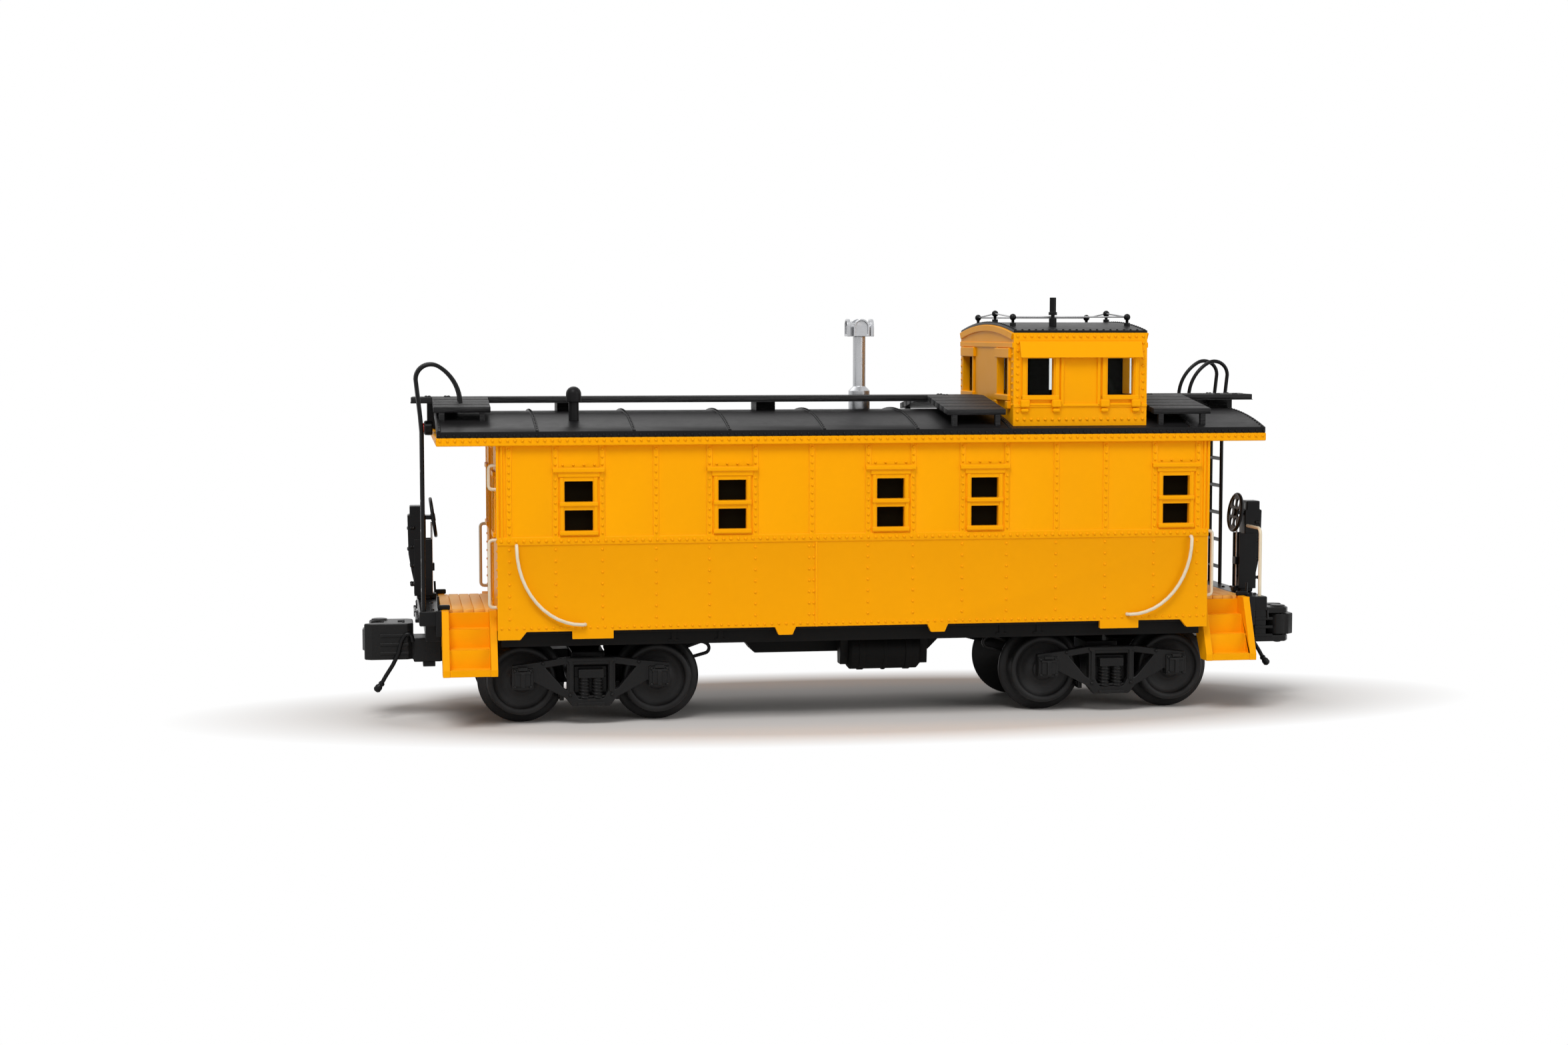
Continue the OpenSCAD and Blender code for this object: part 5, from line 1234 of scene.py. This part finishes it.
def brake_rigging():
    """Brake cylinder, levers and rods on the far side of the centre sill."""
    floor = span("car_floor")[0].z
    profile = [(0, 1.2), (0, 3.4), (0.8, 4.4), (1.6, 4.4), (1.8, 3.9), (9.6, 3.9), (9.8, 4.4),
               (10.6, 4.4), (11.2, 3.2), (13.2, 1.2), (15, 0.7)]
    settle(lathe("brake_cylinder", profile, (-4, 14, floor - 4.7), (1, 0, 0)), *BELOW)
    levers = [((10.6, 8, floor - 5.2), (11.6, 20, floor - 4.2)),
              ((-6.5, 11, floor - 2), (-4.5, 17, floor + 0.1)),
              ((-1, 12, floor - 1.4), (5, 16, floor + 0.1)),
              ((-30, 10.5, floor - 4.0), (-29, 19, floor - 3.2))]
    settle(boxes("brake_levers", levers, 0.15), *BELOW)
    rods = [[(11.1, 19, floor - 4.7), (-29.5, 18, floor - 3.6)],
            [(-29.5, 11.5, floor - 3.6), (-38, 8, floor - 3)],
            [(11.1, 9.4, floor - 4.7), (52, 8, floor - 3)],
            [(-60, 24, floor - 0.9), (-2, 24, floor - 0.9), (2, 22, floor - 0.9), (60, 22, floor - 0.9)]]
    wires("brake_rods_below", rods, *BELOW, 0.45, 2.0)


def tank_straps():
    """The two straps round the air tank."""
    low, high = span("air_tank")
    middle = (low + high) / 2
    height = low.z + 5.2
    ring = [(-0.7, 4.6), (-0.7, 5.15), (0.7, 5.15), (0.7, 4.6)]
    for index, x in enumerate((middle.x - 6.2, middle.x + 6.2)):
        band = lathe(f"tank_strap_{index}", ring, (x, middle.y, height), (1, 0, 0))
        settle(band, *BELOW)


# ---------------------------------------------------------------- trucks


def truck_pieces(end):
    """Everything that is added to one truck."""
    sign = 1 if end == "front" else -1
    body = f"truck_{end}"
    middle = sign * TRUCK_X
    half = AXLE_X - TRUCK_X
    face = TRUCK_HIGH.y - 1.5

    def place(rows):
        shifted = [([(middle + x, y, z) for x, y, z in points], facing) for points, facing in rows]
        return both_sides(shifted)

    def place_boxes(corners):
        return mirrored([((middle + lx, ly, lz), (middle + hx, hy, hz))
                         for (lx, ly, lz), (hx, hy, hz) in corners])

    # bolts on the frame, beside the journal boxes and along the lower bar
    bolts = []

    def bolt(x0, x1, out, rise):
        bolts.append(([(x0, -face - out, AXLE_Z + rise), (x1, -face - out, AXLE_Z + rise)], NEAR))

    for side in (-1, 1):
        for x in (side * half - 2.0, side * half + 2.0):
            for rise in (3.2, -0.9):
                bolt(x - 0.05, x + 0.05, 1.0, rise)
        for x, rise in ((5.4, 5.2), (5.3, -3.4), (12.2, 4.9)):
            bolt(side * x, side * (x + 0.1), 0.0, rise)
    rivets(f"{body}_frame_bolts", place(bolts), body, "black_casting", 5.0, 0.48, 0.42)

    # raised ribs of the cast frame and the lids of the journal boxes
    ribs = [((x0, -face - 0.35, AXLE_Z + z0), (x1, -face + 0.2, AXLE_Z + z1)) for x0, x1, z0, z1 in
            ((-6.2, 6.2, 5.3, 6.1), (-3.4, 3.4, -6.1, -5.3), (-5.6, -4.7, -2.6, 5.4),
             (4.7, 5.6, -2.6, 5.4))]
    ribs.append(((-4.2, -face + 0.4, AXLE_Z - 4.2), (4.2, -face + 1.6, AXLE_Z - 3.6)))
    for side in (-1, 1):
        x = side * half
        ribs += [((x - 2.0, -face - 1.75, AXLE_Z + 2.5), (x + 2.0, -face - 1.2, AXLE_Z + 3.1)),
                 ((x - 0.5, -face - 1.95, AXLE_Z - 0.9), (x + 0.5, -face - 1.3, AXLE_Z + 2.7)),
                 ((x - 1.2, -face - 1.7, AXLE_Z + 3.3), (x + 1.2, -face - 0.6, AXLE_Z + 4.1))]
    settle(boxes(f"{body}_frame_ribs", place_boxes(ribs), 0.15), body, "black_casting")

    # black plate behind the springs in the place of a spring plank, which also stands in for the shade
    # inside the frame window: painted shade
    plate = [((-5.7, -face + 2.9, AXLE_Z - 4.6), (5.7, -face + 3.5, AXLE_Z + 4.8))]
    settle(boxes(f"{body}_spring_shade_plates", place_boxes(plate), 0.1), body, "black_underframe")

    # coil springs in the middle window, between a seat and the bolster end
    bm = bmesh.new()
    low, high = span(f"{body}_springs")
    for y in (-1, 1):
        for x in (-1.7, 1.7):
            bm.verts.new(Vector((middle + x, y * (face - 1.2), low.z)) * MM)
    springs = piece_of(f"{body}_coil_springs", bm)
    grown(springs, COILS, "black_casting", height=(high.z - 2.2 - low.z) * MM, radius=1.25 * MM,
          wire=0.28 * MM, turns=6.0)
    settle(springs, body, "black_casting")
    softened(f"{body}_springs", 0.15)

    # brake beams and shoes inside the wheelbase
    beams, shoes = [], []
    for side in (-1, 1):
        x = side * (half - 9.9)
        x0, x1 = sorted((x - side * 0.9, x + side * 0.2))
        beams.append(((middle + x - 0.5, -17.5, AXLE_Z - 4.6), (middle + x + 0.5, 17.5, AXLE_Z - 3.6)))
        shoes.append(((x0, -18.6, AXLE_Z - 5.4), (x1, -15.4, AXLE_Z - 0.6)))
    settle(boxes(f"{body}_brake_beams", beams + place_boxes(shoes), 0.15), body, "black_casting")

    # lever loops that show beyond the inner wheels
    bends = ((9, 3), (27, 4.2), (31.5, 5.4), (32.5, 7.2), (30, 8.4), (26, 7.0))
    loops = [[(middle - sign * x, y, AXLE_Z + z) for x, z in bends] for y in (-11.5, 11.5)]
    wires(f"{body}_lever_loops", loops, body, "black_casting", 0.45, 1.5)


def coupler_pieces(end):
    """Ridges, cover plate and bolts of one coupler, and its rubber hose with the end coupling."""
    body = f"truck_{end}"
    back = COUPLER_HIGH.x + 0.6 - 13.2
    top = COUPLER_HIGH.z - 0.9
    bottom, half = top - 9.4, 6.0
    blocks = []
    for z in (bottom + 2.2, bottom + 4.5, bottom + 6.8):
        blocks.append(((back + 1.2, half - 0.2, z - 0.4), (back + 8.6, half + 0.3, z + 0.4)))
        blocks.append(((back + 1.2, -half - 0.3, z - 0.4), (back + 6.4, -half + 0.2, z + 0.4)))
    blocks += [((back + 1.6, -3.6, top - 0.2), (back + 6.2, 3.6, top + 0.4)),
               ((back + 2.2, -1.2, top + 0.2), (back + 4.0, 1.2, top + 0.8)),
               ((back - 5.6, -4.4, bottom - 1.7), (back - 2.4, 4.4, bottom - 0.4)),
               ((back - 5.0, -4.9, bottom + 1.4), (back - 1.0, 4.9, bottom + 2.6))]
    if end == "rear":
        blocks = turned(blocks)
    settle(boxes(f"{body}_coupler_ridges", blocks, 0.18), body, "black_casting")
    rows = [([(back + 2.6, y - 0.05, top + 0.3), (back + 2.6, y + 0.05, top + 0.3)], UP)
            for y in (-2.8, 2.8)]
    rows += [([(back - 3.8, y, bottom + 2.6), (back - 2.0, y, bottom + 2.6)], UP) for y in (-4.0, 4.0)]
    rows = rows if end == "front" else other_end(rows)
    rivets(f"{body}_coupler_bolts", rows, body, "black_casting", 1.8, 0.5, 0.4)

    # rubber hose with its end coupling
    low, high = span("truck_front_air_hose")
    side = (low.y + high.y) / 2
    bends = ((0, 0), (0.2, 1.6), (1.6, 2.4), (2.9, 0.2), (3.7, -3), (5.2, -6), (7.0, -8.8), (8.2, -10.9))
    route = [(low.x + 0.5 + x, side, high.z - 2.6 + z) for x, z in bends]
    hose = wires(f"{body}_hose_bent", [route if end == "front" else turned_route(route)], body,
                 "black_fittings", 0.55, 2.5)
    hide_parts(f"{body}_air_hose")
    sign = 1 if end == "front" else -1
    tip = Vector(route[-1])
    grip = [(-0.6, 0.6), (-0.3, 0.8), (0.1, 0.8), (0.3, 0.65), (0.9, 0.95), (1.9, 0.95), (2.3, 0.6),
            (2.4, 0.2)]
    origin, axis = (sign * tip.x, sign * tip.y, tip.z), (sign * 0.62, 0, -0.78)
    settle(lathe(f"{body}_hose_coupling", grip, origin, axis), body, "black_fittings")


# ---------------------------------------------------------------- all the pieces

cabin_rivets()
window_mouldings()
seam_line()
end_wall_trim()
end_door_details()
roof_rivets()
walk_boards()
walk_supports()
sloping_boards("end_side_boards", "ladder_boards", 4)
sloping_boards("cupola_side_boards", "cupola_boards", 5)
walk_screws()
cupola_trim()
cupola_end_trim()
cupola_rivets()
cupola_shade_liner()
marker_lamps()
handrail_wire()
platform_boards()
ladders()
platform_hooks()
sill_fittings()
brake_stand_fittings()
step_trim()
underframe_details()
brake_rigging()
tank_straps()
for end in ("front", "rear"):
    truck_pieces(end)
    coupler_pieces(end)

# ---------------------------------------------------------------- stage, lights and camera


def shown_ray(tree):
    """One for rays that show the stage itself: straight, mirrored or through glass."""
    path = put(tree, "ShaderNodeLightPath")
    seen = math_of(tree, "MAXIMUM", path.outputs["Is Camera Ray"], path.outputs["Is Glossy Ray"])
    return math_of(tree, "MAXIMUM", seen, path.outputs["Is Transmission Ray"])


def floor_material():
    """Pale floor that keeps the shadow near the car and runs out to plain white. Near the car it is painted
    darker for the rays that show it than for the light it bounces, as painted shadow.
    """
    material = bpy.data.materials.new("studio_floor")
    material.use_nodes = True
    tree = material.node_tree
    tree.nodes.clear()
    shown = shown_ray(tree)
    place = put(tree, "ShaderNodeTexCoord").outputs["Object"]
    squeezed = put(tree, "ShaderNodeVectorMath", {0: place, 1: (0.37, 1.0, 1.0)}, operation="MULTIPLY")
    distance = put(tree, "ShaderNodeVectorMath", {0: squeezed.outputs[0]},
                   operation="LENGTH").outputs["Value"]
    fade = math_of(tree, "MULTIPLY", remap(tree, distance, 0.046, 0.066, 0.0, 1.0), shown)
    # darker colour for shown rays near the car: painted shadow
    shade_darkened_floor = mix_colour(tree, shown, (0.84, 0.82, 0.8, 1), (0.72, 0.695, 0.675, 1))
    near = put(tree, "ShaderNodeBsdfDiffuse", {"Color": shade_darkened_floor})
    white = put(tree, "ShaderNodeEmission", {"Color": (1, 1, 1, 1), "Strength": 1.0})
    both = put(tree, "ShaderNodeMixShader", {0: fade, 1: near.outputs[0], 2: white.outputs[0]})
    end = put(tree, "ShaderNodeOutputMaterial", {0: both.outputs[0]})
    end.is_active_output = True
    return material


def add_floor():
    bm = bmesh.new()
    bmesh.ops.create_grid(bm, x_segments=1, y_segments=1, size=4.0)
    floor = piece_of("studio_floor", bm)
    floor.data.materials.append(floor_material())


def add_world():
    world = bpy.data.worlds.new("studio")
    bpy.context.scene.world = world
    world.use_nodes = True
    tree = world.node_tree
    back = tree.nodes["Background"]
    back.inputs["Color"].default_value = (1, 1, 1, 1)
    strength = remap(tree, shown_ray(tree), 0.0, 1.0, 0.3, 1.0)
    tree.links.new(strength, back.inputs["Strength"])


def add_lamp(name, place, target, size, power):
    """A square soft light at a place, aimed at a target. Places are in metres."""
    data = bpy.data.lights.new(name, "AREA")
    data.shape = "SQUARE"
    data.size = size
    data.energy = power
    lamp = bpy.data.objects.new(name, data)
    lamp.location = place
    lamp.rotation_euler = (Vector(target) - Vector(place)).to_track_quat("-Z", "Y").to_euler()
    bpy.context.scene.collection.objects.link(lamp)


def add_camera():
    """Camera at the height of the roof, turned a little towards the cupola end."""
    data = bpy.data.cameras.new("camera")
    data.lens = 56.48
    data.sensor_width = 36
    data.clip_start = 0.01
    camera = bpy.data.objects.new("camera", data)
    yaw, tilt = math.radians(9.3), math.radians(4.43)
    look = Vector((math.sin(yaw) * math.cos(tilt), math.cos(yaw) * math.cos(tilt), -math.sin(tilt)))
    camera.location = (-0.1211, -0.6472, 0.1004)
    camera.rotation_euler = look.to_track_quat("-Z", "Y").to_euler()
    bpy.context.scene.collection.objects.link(camera)
    bpy.context.scene.camera = camera


add_floor()
add_world()
add_lamp("key_light", (-0.3, -0.62, 0.95), (0, 0, 0.05), 0.5, 8.0)
add_lamp("fill_light", (0.75, -0.7, 0.4), (0, 0, 0.05), 0.6, 2.4)
add_lamp("back_light", (-0.2, 0.6, 0.8), (0, 0, 0.05), 0.6, 2.0)
add_camera()
bpy.context.scene.view_settings.view_transform = "Standard"
